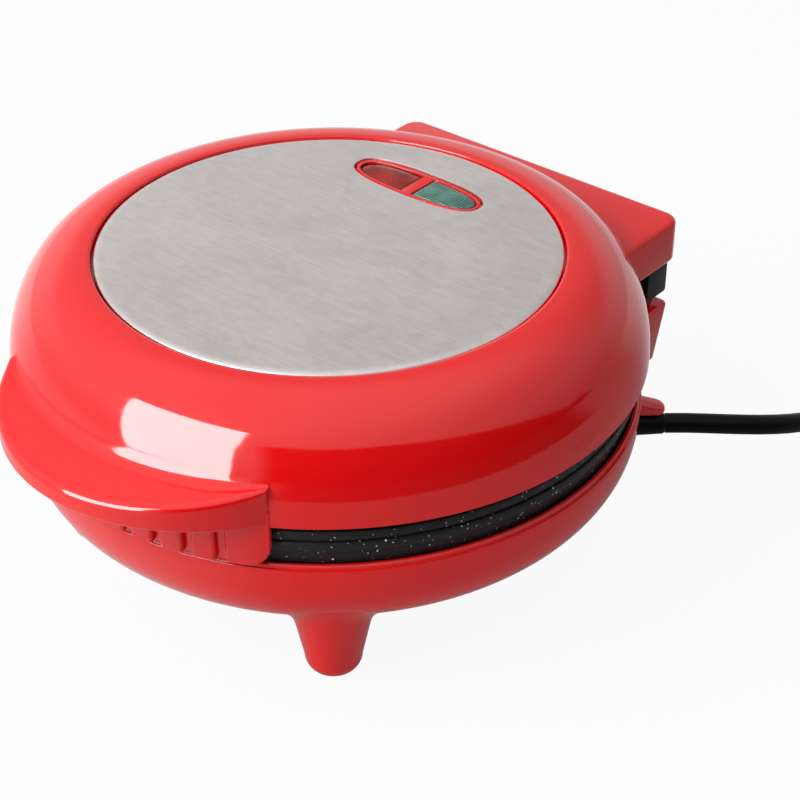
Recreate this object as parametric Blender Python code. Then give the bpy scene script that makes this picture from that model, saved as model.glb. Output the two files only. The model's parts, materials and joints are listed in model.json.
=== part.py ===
"""Omelette maker: a round red cooker with a hinged lid, two cast plates and a mains cord.

The floor is z = 0, X runs to the right and Y to the back, where the hinge is. Lengths are metres.
"""

import math

import bmesh
import bpy
from mathutils import Matrix, Vector

# Shells
BODY_R = 0.1105
LID_EDGE_Z = 0.0760
LID_RISE = 0.0361
LID_FULLNESS = 2.15
SHELL_GAP = 0.0163
RIM_INSET = 0.0016
BASE_DEPTH = 0.0412
BASE_FLAT_R = 0.0322
BASE_FULLNESS = 2.75
SHELL_WALL = 0.0024
RIM_STEP = 0.0008
RIM_LIP_H = 0.0017
ROUND_STEPS = 64
HIDDEN_STEPS = 36
ARC_STEPS = 9
HIDDEN_ARC_STEPS = 6

# Clearances
FIT_GAP = 0.0003
TRIM_GAP = 0.0005
OVERRUN = 0.0040

# Steel disc and its deck
DISC_MARGIN = 0.0305
DISC_T = 0.0013
DISC_EDGE_R = 0.0005
DECK_T = 0.0022
DECK_LIP = 0.0010

# Indicator window
WINDOW_X = -0.0030
WINDOW_MARGIN = 0.0275
WINDOW_HALF_L = 0.0264
WINDOW_HALF_W = 0.0082
WINDOW_FULLNESS = 2.6
WINDOW_PROUD = 0.0004
WINDOW_FRAME_W = 0.0021
WINDOW_WEB_W = 0.0043
WINDOW_DEPTH = 0.0055
WINDOW_STEPS = 36
LENS_T = 0.0030
LENS_SINK = 0.0006
LENS_RIB_COUNT = 9
LENS_RIB_H = 0.0004

# Handle and grip wall
HANDLE_HALF_W = 0.0633
HANDLE_ROOT_IN = 0.0435
HANDLE_LENGTH = 0.0633
HANDLE_FULLNESS = 2.0
HANDLE_TOP = 0.0176
HANDLE_DROOP = 0.0081
HANDLE_LIP = 0.0026
HANDLE_EDGE_R = 0.0024
HANDLE_WALL = 0.0026
HANDLE_STEPS = 32
GRIP_PROUD = 0.0007
GRIP_WALL = 0.0022
GRIP_HALF_ANGLE = math.radians(31.0)
GRIP_GAP = 0.0007
GRIP_CORNER_R = 0.0045
GROOVE_COUNT = 9
GROOVE_PITCH = math.radians(5.75)
GROOVE_W = 0.0021
GROOVE_DEPTH = 0.0012

# Hinge box on the lid, bracket on the base, and the pins between them
HINGE_HALF_W = 0.0637
HINGE_BEHIND = 0.0127
HINGE_BOX_TOP = 0.0170
HINGE_CORNER_R = 0.0065
HINGE_EDGE_R = 0.0018
HINGE_AXIS_BEHIND = 0.0013
HINGE_AXIS_DROP = 0.0082
PIN_R = 0.0019
PIN_CLEARANCE = 0.0003
PIN_SKIN = 0.0011
KNUCKLE_HALF_D = 0.0062
KNUCKLE_BELOW = 0.0045
KNUCKLE_CHAMFER = 0.0012
KNUCKLE_OUT_X = 0.0620
CHEEK_T = 0.0040
EAR_T = 0.0052
EAR_SIDE_GAP = 0.0004
EAR_R = 0.0048
FORK_WEB_RISE = 0.0063
SOCKET_DEPTH = 0.0090
BRACKET_HALF_W = 0.0640
BRACKET_FOOT_HALF_W = 0.0625
BRACKET_TOP = 0.0168
BRACKET_LOW = 0.0405
BRACKET_BEHIND = 0.0077
BRACKET_FOOT_BEHIND = 0.0037
BRACKET_CORNER_R = 0.0030
BRACKET_EDGE_R = 0.0012
CORNER_STEPS = 5

# Legs and feet
LEG_IN = 0.0227
LEG_ANGLE = math.radians(41.0)
LEG_TOP_R = 0.0160
LEG_LOW_R = 0.0098
LEG_TIP_R = 0.0053
LEG_SINK = 0.0185
LEG_ROUND_H = 0.0060
LEG_WALL = 0.0024
LEG_STEPS = 20
PAD_R = 0.0042
PAD_PROUD = 0.0006
PAD_SINK = 0.0018

# Cast plates
PLATE_RIM_GAP = 0.0018
PLATE_STEP = 0.0005
PLATE_FLANGE_T = 0.0036
PLATE_SKIRT_IN = 0.0009
PLATE_SKIRT_T = 0.0030
PLATE_SKIRT_H = 0.0092
PLATE_PARTING = 0.0078
PAN_MARGIN = 0.0146
PAN_SPLIT = 0.0120
PAN_DEPTH = 0.0085
PAN_WALL = 0.0030
PAN_CORNER_R = 0.0130
PAN_DRAFT = 0.0022
PAN_STEPS = 14
BOSS_INSIDE = 0.0240
BOSS_R = 0.0045
BOSS_ANGLES = [math.radians(45 + 90 * i) for i in range(4)]

# Heating elements, reflectors and fixing screws
ELEMENT_MARGIN = 0.0280
ELEMENT_TUBE_R = 0.0032
ELEMENT_OPEN_ANGLE = math.radians(26.0)
ELEMENT_STEPS = 34
ELEMENT_TAIL = 0.0090
REFLECTOR_MARGIN = 0.0150
REFLECTOR_T = 0.0008
REFLECTOR_RISE = 0.0050
REFLECTOR_DROP = 0.0065
POST_R = 0.0060
SCREW_R = 0.0015
SCREW_HOLE_R = 0.0018
SCREW_HEAD_R = 0.0034
SCREW_HEAD_H = 0.0020
SCREW_HEAD_HOLE_R = 0.0039
SCREW_SINK = 0.0012
SCREW_BITE = 0.0060
SCREW_STEPS = 10

# Electrical pieces in the base
THERMOSTAT_R = 0.0080
THERMOSTAT_H = 0.0090
THERMOSTAT_X = -0.0260
FUSE_R = 0.0022
FUSE_L = 0.0140
FUSE_X = 0.0260
TERMINAL_L = 0.0260
TERMINAL_W = 0.0140
TERMINAL_H = 0.0100
TERMINAL_IN = 0.0449
TERMINAL_POLES = 3
CLAMP_L = 0.0260
CLAMP_W = 0.0070
CLAMP_H = 0.0065
CLAMP_IN = 0.0199
CLAMP_SCREW_SPREAD = 0.0090
CLAMP_SCREW_R = 0.0012
CLAMP_SCREW_HOLE_R = 0.0015
CLAMP_SCREW_HEAD_R = 0.0024
CLAMP_SCREW_HEAD_H = 0.0014
CLAMP_SCREW_BITE = 0.0060

# Cord exit and its canopy
EXIT_ANGLE = math.radians(40.0)
EXIT_BELOW_RIM = 0.0217
RELIEF_INSIDE = 0.0249
RELIEF_OUTSIDE = 0.0101
RELIEF_BACK_R = 0.0047
RELIEF_TIP_R = 0.0039
RELIEF_FLANGE_R = 0.0068
RELIEF_FLANGE_T = 0.0020
CANOPY_INSIDE = 0.0089
CANOPY_OUTSIDE = 0.0098
CANOPY_HALF_W = 0.0035
CANOPY_LOW = 0.0053
CANOPY_RISE = 0.0128
CANOPY_FALL = 0.0050
CANOPY_CORNER_R = 0.0033

# Lamps
LAMP_R = 0.0030
LAMP_L = 0.0110
LAMP_SPREAD = 0.0125
LAMP_HOLDER_T = 0.0020
LAMP_HOLDER_W = 0.0120
LAMP_HOLDER_L = 0.0400
LAMP_HOLDER_LEG = 0.0030

# Cord, coil and plug
CORD_D = 0.0072
CORD_SIDES_RESOLUTION = 2
CORD_JOIN_GAP = 0.0003
# Points by hand along the free stretch, from the strain relief to the coil, in metres.
CORD_ROUTE = [
    (0.1021, 0.0892, 0.0378),
    (0.1104, 0.0964, 0.0372),
    (0.1171, 0.1050, 0.0354),
    (0.1214, 0.1148, 0.0324),
    (0.1233, 0.1250, 0.0286),
    (0.1246, 0.1351, 0.0246),
    (0.1260, 0.1453, 0.0206),
    (0.1273, 0.1554, 0.0168),
    (0.1287, 0.1655, 0.0131),
    (0.1300, 0.1756, 0.0094),
    (0.1314, 0.1858, 0.0057),
]
CORD_STEP_IN_DIAMETERS = 2.2
COIL_X = 0.1770
COIL_Y = 0.1873
COIL_OUT_R = 0.0445
COIL_START = math.radians(165.0)
COIL_TURNS = 2.5
COIL_TURN_STEPS = 24
COIL_SIDE_GAP = 0.0009
COIL_STACK_GAP = 0.0007
COIL_TAIL = 0.0272
PLUG_HALF_W = 0.0180
PLUG_BODY_L = 0.0250
PLUG_NECK_L = 0.0200
PLUG_NECK_R = 0.0056
PLUG_ROUND_R = 0.0030
PLUG_STEPS = 28
PLUG_PIN_R = 0.0024
PLUG_PIN_L = 0.0190
PLUG_PIN_SPREAD = 0.0095
PLUG_PIN_SINK = 0.0050

# Worked out from the sizes above
BASE_RIM_R = BODY_R - RIM_INSET
DISC_R = BODY_R - DISC_MARGIN
WINDOW_FROM_AXIS = DISC_R - WINDOW_MARGIN
HANDLE_ROOT_Y = BODY_R - HANDLE_ROOT_IN
HANDLE_REACH = HANDLE_ROOT_Y + HANDLE_LENGTH
GRIP_OUT_R = BODY_R + GRIP_PROUD
HINGE_REACH = BODY_R + HINGE_BEHIND
BRACKET_REACH = BODY_R + BRACKET_BEHIND
BRACKET_FOOT_REACH = BODY_R + BRACKET_FOOT_BEHIND
AXIS_Y = (HANDLE_REACH - HINGE_REACH) / 2
LID_TOP_Z = LID_EDGE_Z + LID_RISE
DECK_Z = LID_TOP_Z - DISC_T - FIT_GAP
RECESS_R = DISC_R + TRIM_GAP
RIM_Z = LID_EDGE_Z - SHELL_GAP
BASE_LOW_Z = RIM_Z - BASE_DEPTH
FLOOR_IN_Z = BASE_LOW_Z + SHELL_WALL
LEG_FROM_AXIS = BASE_RIM_R - LEG_IN
LEG_HEIGHT = BASE_LOW_Z + LEG_SINK
PLATE_FLANGE_R = BASE_RIM_R - PLATE_RIM_GAP
PLATE_R = PLATE_FLANGE_R - PLATE_STEP
PLATE_SKIRT_R = PLATE_R - PLATE_SKIRT_IN
PAN_R = PLATE_R - PAN_MARGIN
ELEMENT_R = PAN_R - ELEMENT_MARGIN
BOSS_FROM_AXIS = ELEMENT_R - BOSS_INSIDE
REFLECTOR_R = PAN_R - REFLECTOR_MARGIN
EXIT_Z = RIM_Z - EXIT_BELOW_RIM
TERMINAL_FROM_AXIS = BASE_RIM_R - TERMINAL_IN
CLAMP_FROM_AXIS = BASE_RIM_R - CLAMP_IN
RELIEF_IN_FROM_AXIS = BASE_RIM_R - RELIEF_INSIDE
RELIEF_OUT_FROM_AXIS = BASE_RIM_R + RELIEF_OUTSIDE
CANOPY_IN = BASE_RIM_R - CANOPY_INSIDE
CANOPY_REACH = BASE_RIM_R + CANOPY_OUTSIDE
PARTING_Z = LID_EDGE_Z - PLATE_PARTING
HINGE_Y = AXIS_Y + BODY_R + HINGE_AXIS_BEHIND
HINGE_Z = LID_EDGE_Z - HINGE_AXIS_DROP
PIN_HOLE_R = PIN_R + PIN_CLEARANCE
KNUCKLE_W = 2 * CHEEK_T + EAR_T + 2 * EAR_SIDE_GAP
KNUCKLE_X = KNUCKLE_OUT_X - KNUCKLE_W / 2
CORD_R = CORD_D / 2
EXIT_DIR = Vector((math.cos(EXIT_ANGLE), math.sin(EXIT_ANGLE), 0))
AXIS_AT_FLOOR = Vector((0, AXIS_Y, 0))
COIL_PITCH = CORD_D + COIL_SIDE_GAP
COIL_LAYER = CORD_D + COIL_STACK_GAP
PLUG_R = CORD_R + COIL_LAYER

# The finishes, as sRGB shares, roughness and metallic
FINISHES = {
    "red_gloss": ((0.86, 0.06, 0.06), 0.12, 0.0),
    "steel_brushed": ((0.66, 0.64, 0.62), 0.34, 1.0),
    "cast_coating": ((0.05, 0.05, 0.06), 0.45, 0.0),
    "black_plastic": ((0.03, 0.03, 0.03), 0.40, 0.0),
    "black_rubber": ((0.02, 0.02, 0.02), 0.55, 0.0),
    "steel_plain": ((0.60, 0.60, 0.62), 0.30, 1.0),
    "aluminium": ((0.80, 0.80, 0.82), 0.28, 1.0),
    "red_lens": ((0.62, 0.12, 0.08), 0.15, 0.0),
    "green_lens": ((0.18, 0.58, 0.50), 0.15, 0.0),
    "lamp_glass": ((0.90, 0.80, 0.70), 0.10, 0.0),
    "ceramic": ((0.88, 0.85, 0.78), 0.60, 0.0),
    "brass": ((0.80, 0.66, 0.38), 0.28, 1.0),
}


def material(name):
    """The Principled material of one finish, made once."""
    if name in bpy.data.materials:
        return bpy.data.materials[name]
    made = bpy.data.materials.new(name)
    made.use_nodes = True
    colour, roughness, metallic = FINISHES[name]
    shader = made.node_tree.nodes["Principled BSDF"]
    shader.inputs["Base Color"].default_value = (*colour, 1)
    shader.inputs["Roughness"].default_value = roughness
    shader.inputs["Metallic"].default_value = metallic
    made.diffuse_color = (*colour, 1)
    return made


def put(name, mesh, finish=None, at=(0, 0, 0)):
    """An object of this mesh in the scene: a node with a finish, or without one a hidden helper."""
    obj = bpy.data.objects.new(name, mesh)
    obj.location = at
    bpy.context.collection.objects.link(obj)
    if finish is None:
        obj.hide_render = True
        obj.display_type = "WIRE"
    else:
        mesh.materials.append(material(finish))
        mesh.shade_smooth()
        mesh.set_sharp_from_angle(angle=math.radians(32))
    return obj


def mesh_of(name, bm):
    """The bmesh as a mesh, with every face pointing out."""
    bmesh.ops.recalc_face_normals(bm, faces=bm.faces[:])
    mesh = bpy.data.meshes.new(name)
    bm.to_mesh(mesh)
    bm.free()
    return mesh


def turned_bmesh(profile, steps, angle=2 * math.pi, start=0.0):
    """The closed profile of (radius, height) points turned about Z."""
    bm = bmesh.new()
    turn = Matrix.Rotation(start, 4, "Z")
    verts = [bm.verts.new(turn @ Vector((r, 0, z))) for r, z in profile]
    whole = abs(angle - 2 * math.pi) < OVERRUN
    if whole:
        edges = [bm.edges.new(pair) for pair in zip(verts, verts[1:])]
        if min(profile[0][0], profile[-1][0]) > 0:
            edges.append(bm.edges.new((verts[-1], verts[0])))
        geometry = verts + edges
    else:
        geometry = [bm.faces.new(verts)]
        geometry += list(geometry[0].edges) + verts
    bmesh.ops.spin(
        bm, geom=geometry, cent=(0, 0, 0), axis=(0, 0, 1), angle=angle, steps=steps, use_merge=whole
    )
    bmesh.ops.remove_doubles(bm, verts=bm.verts[:], dist=FIT_GAP / 100)
    return bm


def turned(name, profile, steps, finish=None, at=(0, 0, 0)):
    return put(name, mesh_of(name, turned_bmesh(profile, steps)), finish, at)


def prism_bmesh(outline, low, high, shrink=None):
    """The closed outline of (x, y) points from z = low to z = high; shrink gives the top its own outline."""
    bm = bmesh.new()
    bottom = [bm.verts.new((x, y, low)) for x, y in outline]
    top = [bm.verts.new((x, y, high)) for x, y in (shrink or outline)]
    bm.faces.new(bottom)
    bm.faces.new(top)
    count = len(outline)
    for i in range(count):
        after = (i + 1) % count
        bm.faces.new((bottom[i], bottom[after], top[after], top[i]))
    return bm


def prism(name, outline, low, high, finish=None, at=(0, 0, 0), shrink=None):
    return put(name, mesh_of(name, prism_bmesh(outline, low, high, shrink)), finish, at)


def box(name, size, centre, finish=None):
    """A block of the given size about its centre."""
    bm = bmesh.new()
    bmesh.ops.create_cube(bm, size=1)
    bmesh.ops.scale(bm, verts=bm.verts[:], vec=size)
    return put(name, mesh_of(name, bm), finish, centre)


def rod(name, radius, ends, finish=None, steps=SCREW_STEPS):
    """A straight round bar between two points."""
    start, end = (Vector(p) for p in ends)
    bm = bmesh.new()
    length = (end - start).length
    bmesh.ops.create_cone(
        bm, cap_ends=True, segments=steps, radius1=radius, radius2=radius, depth=length
    )
    turn = (end - start).to_track_quat("Z", "Y").to_matrix().to_4x4()
    bmesh.ops.transform(bm, verts=bm.verts[:], matrix=Matrix.Translation((start + end) / 2) @ turn)
    return put(name, mesh_of(name, bm), finish)


def combine(target, other, operation):
    step = target.modifiers.new(other.name, "BOOLEAN")
    step.operation = operation
    step.object = other
    step.solver = "EXACT"
    return target


def add(target, *others):
    for other in others:
        combine(target, other, "UNION")


def cut(target, *others):
    for other in others:
        combine(target, other, "DIFFERENCE")


def curved_profile(outer, inner, low, high, fullness, steps=ARC_STEPS):
    """Points from radius outer at z = low to radius inner at z = high along a superellipse quarter."""
    points = []
    for i in range(steps + 1):
        t = math.pi / 2 * i / steps
        across = math.cos(t) ** (2 / fullness) if i < steps else 0.0
        up = math.sin(t) ** (2 / fullness) if i else 0.0
        points.append((inner + (outer - inner) * across, low + (high - low) * up))
    return points


def oval(half_x, half_y, steps, centre=(0, 0), start=0.0, span=2 * math.pi, fullness=2.0):
    """Points of an ellipse or a fuller oval, or of a part of one with both its ends."""
    whole = span > 2 * math.pi - math.radians(1)
    points = []
    for i in range(steps if whole else steps + 1):
        angle = start + span * i / steps
        across, up = (math.copysign(abs(v) ** (2 / fullness), v) for v in (math.cos(angle), math.sin(angle)))
        points.append((centre[0] + half_x * across, centre[1] + half_y * up))
    return points


def rounded(corners, radius, steps=CORNER_STEPS):
    """The polygon with each corner rounded; radius is one value or one for each corner."""
    radii = radius if isinstance(radius, list) else [radius] * len(corners)
    points = []
    for i, corner in enumerate(corners):
        here = Vector(corner)
        back = (Vector(corners[i - 1]) - here).normalized()
        ahead = (Vector(corners[(i + 1) % len(corners)]) - here).normalized()
        if radii[i] <= 0:
            points.append(tuple(here))
            continue
        half = back.angle(ahead) / 2
        centre = here + (back + ahead).normalized() * radii[i] / math.sin(half)
        first = here + back * radii[i] / math.tan(half) - centre
        last = here + ahead * radii[i] / math.tan(half) - centre
        turn = first.angle_signed(last)
        for k in range(steps + 1):
            points.append(tuple(centre + Matrix.Rotation(-turn * k / steps, 2) @ first))
    return points


def bevelled(obj, width, segments=2, degrees=40.0):
    step = obj.modifiers.new("edge", "BEVEL")
    step.width = width
    step.segments = segments
    step.limit_method = "ANGLE"
    step.angle_limit = math.radians(degrees)
    return obj


def polar(radius, angle, z=0.0):
    """A point at this radius and angle about the body's axis."""
    return Vector((radius * math.cos(angle), AXIS_Y + radius * math.sin(angle), z))


def along_exit(distance, z=EXIT_Z, side=0.0):
    """A point on the cord's way out, this far from the body's axis and to the side of it."""
    across = Vector((-EXIT_DIR.y, EXIT_DIR.x, 0))
    return AXIS_AT_FLOOR + EXIT_DIR * distance + across * side + Vector((0, 0, z))


def lid_arc(inset=0.0, steps=ARC_STEPS):
    """The lid's dome from its lower edge to the disc's recess, drawn in by inset."""
    top_r = RECESS_R + DECK_LIP
    return curved_profile(
        BODY_R - inset, top_r - inset, LID_EDGE_Z, LID_TOP_Z - inset, LID_FULLNESS, steps
    )


def base_arc(inset=0.0, steps=ARC_STEPS):
    """The bowl from its flat bottom to its rim, drawn in by inset."""
    top = RIM_Z - RIM_LIP_H
    low = BASE_LOW_Z + inset
    return curved_profile(BASE_RIM_R - inset, BASE_FLAT_R - inset, top, low, BASE_FULLNESS, steps)[::-1]


def leg_centres():
    turns = (-math.pi / 2 + LEG_ANGLE, -math.pi / 2 - LEG_ANGLE, math.pi / 2 - LEG_ANGLE, math.pi / 2 + LEG_ANGLE)
    return [polar(LEG_FROM_AXIS, turn) for turn in turns]


def leg_solid(name, centre):
    """One tapered leg with a rounded tip and its pad's recess, reaching up into the bowl's wall."""
    recess_r = PAD_R + FIT_GAP
    recess_top = PAD_PROUD + PAD_SINK + FIT_GAP
    tip = [(recess_r, recess_top), (recess_r, PAD_PROUD)]
    for i in range(CORNER_STEPS):
        t = math.pi / 2 * i / CORNER_STEPS
        tip.append(
            (
                LEG_TIP_R + (LEG_LOW_R - LEG_TIP_R) * math.sin(t),
                PAD_PROUD + LEG_ROUND_H * (1 - math.cos(t)),
            )
        )
    profile = [(0, recess_top), *tip, (LEG_LOW_R, PAD_PROUD + LEG_ROUND_H)]
    profile += [(LEG_TOP_R, LEG_HEIGHT), (0, LEG_HEIGHT)]
    return turned(name, profile, LEG_STEPS, at=centre)


def leg_hollow(name, centre):
    """The room inside a leg, open to the bowl."""
    low = PAD_PROUD + PAD_SINK + 2 * LEG_WALL
    taper = (LEG_TOP_R - LEG_LOW_R) / (LEG_HEIGHT - PAD_PROUD - LEG_ROUND_H)
    low_r = LEG_LOW_R + taper * (low - PAD_PROUD - LEG_ROUND_H) - LEG_WALL
    high = BASE_LOW_Z + SHELL_WALL * 4
    high_r = low_r + taper * (high - low)
    return turned(name, [(0, low), (low_r, low), (high_r, high), (0, high)], LEG_STEPS, at=centre)


def bracket_solid():
    """The base's hinge bracket: a rounded block whose back leans in towards its foot."""
    top_z = LID_EDGE_Z - BRACKET_TOP
    low_z = LID_EDGE_Z - BRACKET_LOW

    def outline(half_w, reach):
        front = AXIS_Y + BASE_FLAT_R
        back = AXIS_Y + reach
        corners = [(-half_w, front), (half_w, front), (half_w, back), (-half_w, back)]
        return rounded(corners, [0, 0, BRACKET_CORNER_R, BRACKET_CORNER_R])

    foot = outline(BRACKET_FOOT_HALF_W, BRACKET_FOOT_REACH)
    block = prism("bracket_form", foot, low_z, top_z, shrink=outline(BRACKET_HALF_W, BRACKET_REACH))
    return bevelled(block, BRACKET_EDGE_R)


def ear_solid(side):
    """The upright lug that carries one hinge pin."""
    bottom = LID_EDGE_Z - BRACKET_TOP - EAR_R
    profile = [(HINGE_Y - EAR_R, bottom), (HINGE_Y + EAR_R, bottom)]
    for i in range(2 * CORNER_STEPS + 1):
        t = math.pi * i / (2 * CORNER_STEPS)
        profile.append((HINGE_Y + EAR_R * math.cos(t), HINGE_Z + EAR_R * math.sin(t)))
    return across_prism(f"ear_form_{side}", profile, side * KNUCKLE_X, EAR_T)


def across_prism(name, profile, centre_x, width, finish=None):
    """The closed profile of (y, z) points, extruded along X about centre_x."""
    bm = prism_bmesh(profile, -width / 2, width / 2)
    swap = Matrix(((0, 0, 1, centre_x), (1, 0, 0, 0), (0, 1, 0, 0), (0, 0, 0, 1)))
    bmesh.ops.transform(bm, verts=bm.verts[:], matrix=swap)
    return put(name, mesh_of(name, bm), finish)


def canopy_solid():
    """The slim wedge that stands out over the cord and falls away to its rounded end."""
    corners = [
        (CANOPY_IN, -CANOPY_HALF_W),
        (CANOPY_REACH, -CANOPY_HALF_W),
        (CANOPY_REACH, CANOPY_HALF_W),
        (CANOPY_IN, CANOPY_HALF_W),
    ]
    outline = rounded(corners, [0, CANOPY_CORNER_R, CANOPY_CORNER_R, 0])
    top = EXIT_Z + CANOPY_RISE
    form = prism("canopy_form", outline, EXIT_Z + CANOPY_LOW, top, at=AXIS_AT_FLOOR)
    for vertex in form.data.vertices:
        if vertex.co.z > top - FIT_GAP:
            vertex.co.z -= CANOPY_FALL * (vertex.co.x - CANOPY_IN) / (CANOPY_REACH - CANOPY_IN)
    form.rotation_euler.z = EXIT_ANGLE
    return form


def exit_block(name, size, distance, low, high):
    """A block on the cord's way out, its length across the cord."""
    length, width = size
    block = box(name, (width, length, high - low), along_exit(distance, (low + high) / 2))
    block.rotation_euler.z = EXIT_ANGLE
    return block


def clamp_points():
    return [along_exit(CLAMP_FROM_AXIS, EXIT_Z, side * CLAMP_SCREW_SPREAD) for side in (-1, 1)]


def reflector_z(lid):
    """The reflector's face towards the plate."""
    pan = PAN_DEPTH + PAN_WALL + FIT_GAP + 2 * ELEMENT_TUBE_R + REFLECTOR_DROP
    return PARTING_Z + pan if lid else PARTING_Z - pan


def base_shell():
    """The base moulding: bowl, rim, bracket with ears, canopy, legs, posts and the clamp's seat."""
    rim_r = BASE_RIM_R - RIM_STEP
    outer = [(0, BASE_LOW_Z), *base_arc(), (rim_r, RIM_Z - RIM_LIP_H), (rim_r, RIM_Z), (0, RIM_Z)]
    shell = turned("base_shell", outer, ROUND_STEPS, "red_gloss", AXIS_AT_FLOOR)
    add(shell, bracket_solid(), canopy_solid())
    for i, centre in enumerate(leg_centres(), 1):
        add(shell, leg_solid(f"leg_form_{i}", centre))
    inside = BASE_RIM_R - SHELL_WALL
    arc = base_arc(SHELL_WALL, HIDDEN_ARC_STEPS)
    over = HINGE_Z + EAR_R
    room = [(0, FLOOR_IN_Z), *arc, (inside, RIM_Z)]
    room += [(BASE_RIM_R, RIM_Z), (BASE_RIM_R, over), (0, over)]
    bowl_room = turned("bowl_room", room, HIDDEN_STEPS, at=AXIS_AT_FLOOR)
    cut(bowl_room, *base_posts(), *seats())
    cut(shell, bowl_room)
    for i, centre in enumerate(leg_centres(), 1):
        cut(shell, leg_hollow(f"leg_room_{i}", centre))
    add(shell, ear_solid(-1), ear_solid(1))
    bore_base_posts(shell)
    bore_clamp_seat(shell)
    across = BRACKET_HALF_W + OVERRUN
    pins = rod("ear_bore", PIN_HOLE_R, ((-across, HINGE_Y, HINGE_Z), (across, HINGE_Y, HINGE_Z)), steps=16)
    cut(shell, pins)
    wall_hole = (along_exit(CLAMP_FROM_AXIS), along_exit(BODY_R + OVERRUN))
    cut(shell, rod("cord_hole", RELIEF_BACK_R + FIT_GAP, wall_hole, steps=20))
    return shell


def post_top():
    return reflector_z(False) - REFLECTOR_T - REFLECTOR_RISE - FIT_GAP


def base_posts():
    """The posts that carry the lower reflector; the room in the bowl leaves them standing."""
    posts = []
    for i, angle in enumerate(BOSS_ANGLES, 1):
        ends = (polar(BOSS_FROM_AXIS, angle), polar(BOSS_FROM_AXIS, angle, post_top()))
        posts.append(rod(f"post_form_{i}", POST_R, ends, steps=12))
    return posts


def bore_base_posts(shell):
    """The screws' holes up through the posts, with counterbores under the base."""
    head_top = BASE_LOW_Z + SCREW_SINK + SCREW_HEAD_H + FIT_GAP
    for i, angle in enumerate(BOSS_ANGLES, 1):
        under = polar(BOSS_FROM_AXIS, angle, BASE_LOW_Z - OVERRUN)
        over = polar(BOSS_FROM_AXIS, angle, post_top() + OVERRUN)
        cut(
            shell,
            rod(f"post_bore_{i}", SCREW_HOLE_R, (under, over)),
            rod(f"post_counterbore_{i}", SCREW_HEAD_HOLE_R, (under, polar(BOSS_FROM_AXIS, angle, head_top))),
        )


def seats():
    """The rib that the cord's clamp screws down to, and the terminal block's pedestal."""
    size = (TERMINAL_L / 2, TERMINAL_W / 2)
    return (
        exit_block("clamp_seat", (CLAMP_L, CLAMP_W), CLAMP_FROM_AXIS, 0.0, EXIT_Z - FIT_GAP),
        exit_block("terminal_seat", size, TERMINAL_FROM_AXIS, 0.0, terminal_z() - FIT_GAP),
    )


def bore_clamp_seat(shell):
    """The clamp seat's groove for the strain relief and its two screw holes."""
    reach = CLAMP_W / 2 + OVERRUN
    groove = (along_exit(CLAMP_FROM_AXIS - reach), along_exit(CLAMP_FROM_AXIS + reach))
    cut(shell, rod("seat_groove", RELIEF_BACK_R + FIT_GAP, groove, steps=20))
    for i, point in enumerate(clamp_points(), 1):
        low_end = point - Vector((0, 0, CLAMP_SCREW_BITE + OVERRUN / 4))
        cut(shell, rod(f"seat_bore_{i}", CLAMP_SCREW_HOLE_R, (low_end, point + Vector((0, 0, OVERRUN)))))


def foot_pads():
    for i, centre in enumerate(leg_centres(), 1):
        edge = PAD_R - FIT_GAP
        profile = [(0, 0), (edge, 0), (PAD_R, FIT_GAP), (PAD_R, PAD_PROUD + PAD_SINK), (0, PAD_PROUD + PAD_SINK)]
        turned(f"foot_pad_{i}", profile, LEG_STEPS, "black_rubber", centre)


def lid_shell():
    """The lid moulding: dome, disc recess, handle with its grip wall, hinge box and screw posts."""
    arc = lid_arc()
    outer = [(0, LID_EDGE_Z), *arc, (RECESS_R, LID_TOP_Z), (RECESS_R, DECK_Z), (0, DECK_Z)]
    shell = turned("lid_shell", outer, ROUND_STEPS, "red_gloss", AXIS_AT_FLOOR)
    add(shell, handle_solid(), hinge_box_solid())
    cut(shell, handle_room())
    inner = lid_arc(SHELL_WALL, HIDDEN_ARC_STEPS)
    under_deck = DECK_Z - DECK_T
    inner = [(r, z) for r, z in inner if z < under_deck]
    room = [(0, LID_EDGE_Z - OVERRUN), (inner[0][0], LID_EDGE_Z - OVERRUN), *inner]
    room += [(inner[-1][0] - SHELL_WALL, under_deck), (0, under_deck)]
    cut(shell, turned("lid_room", room, HIDDEN_STEPS, at=AXIS_AT_FLOOR))
    grip = put("grip_form", mesh_of("grip_form", grip_wall_bmesh()), at=AXIS_AT_FLOOR)
    add(shell, grip)
    for i in range(GROOVE_COUNT):
        cut(shell, groove_cutter(i))
    fit_lid_posts(shell)
    for side in (-1, 1):
        cut(shell, hinge_socket(side))
    low = DECK_Z - DECK_T - OVERRUN
    opening = window_outline(WINDOW_HALF_L - WINDOW_FRAME_W / 2, WINDOW_HALF_W - WINDOW_FRAME_W / 2)
    cut(shell, prism("window_hole", opening, low, LID_TOP_Z + OVERRUN))
    return shell


def handle_outline(inset=0.0):
    """The crescent in plan: half an oval that runs straight back into the dome."""
    front = oval(
        HANDLE_HALF_W - inset,
        HANDLE_LENGTH - inset,
        HANDLE_STEPS,
        (0, AXIS_Y - HANDLE_ROOT_Y),
        math.pi,
        math.pi,
        HANDLE_FULLNESS,
    )
    back = AXIS_Y - HANDLE_ROOT_Y + HANDLE_LENGTH / 2
    inside = HANDLE_HALF_W - inset - HANDLE_EDGE_R
    return [*front, (inside, back), (-inside, back)]


def handle_form(name, inset, low, high, lip):
    """A solid of the handle's outline, its top drooping and its underside rising by lip towards the tip."""
    form = prism(name, handle_outline(inset), low, high)
    for vertex in form.data.vertices:
        out = (AXIS_Y - HANDLE_ROOT_Y - vertex.co.y) / HANDLE_LENGTH
        vertex.co.z += lip * out if vertex.co.z < (low + high) / 2 else -HANDLE_DROOP * out
    return form


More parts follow.
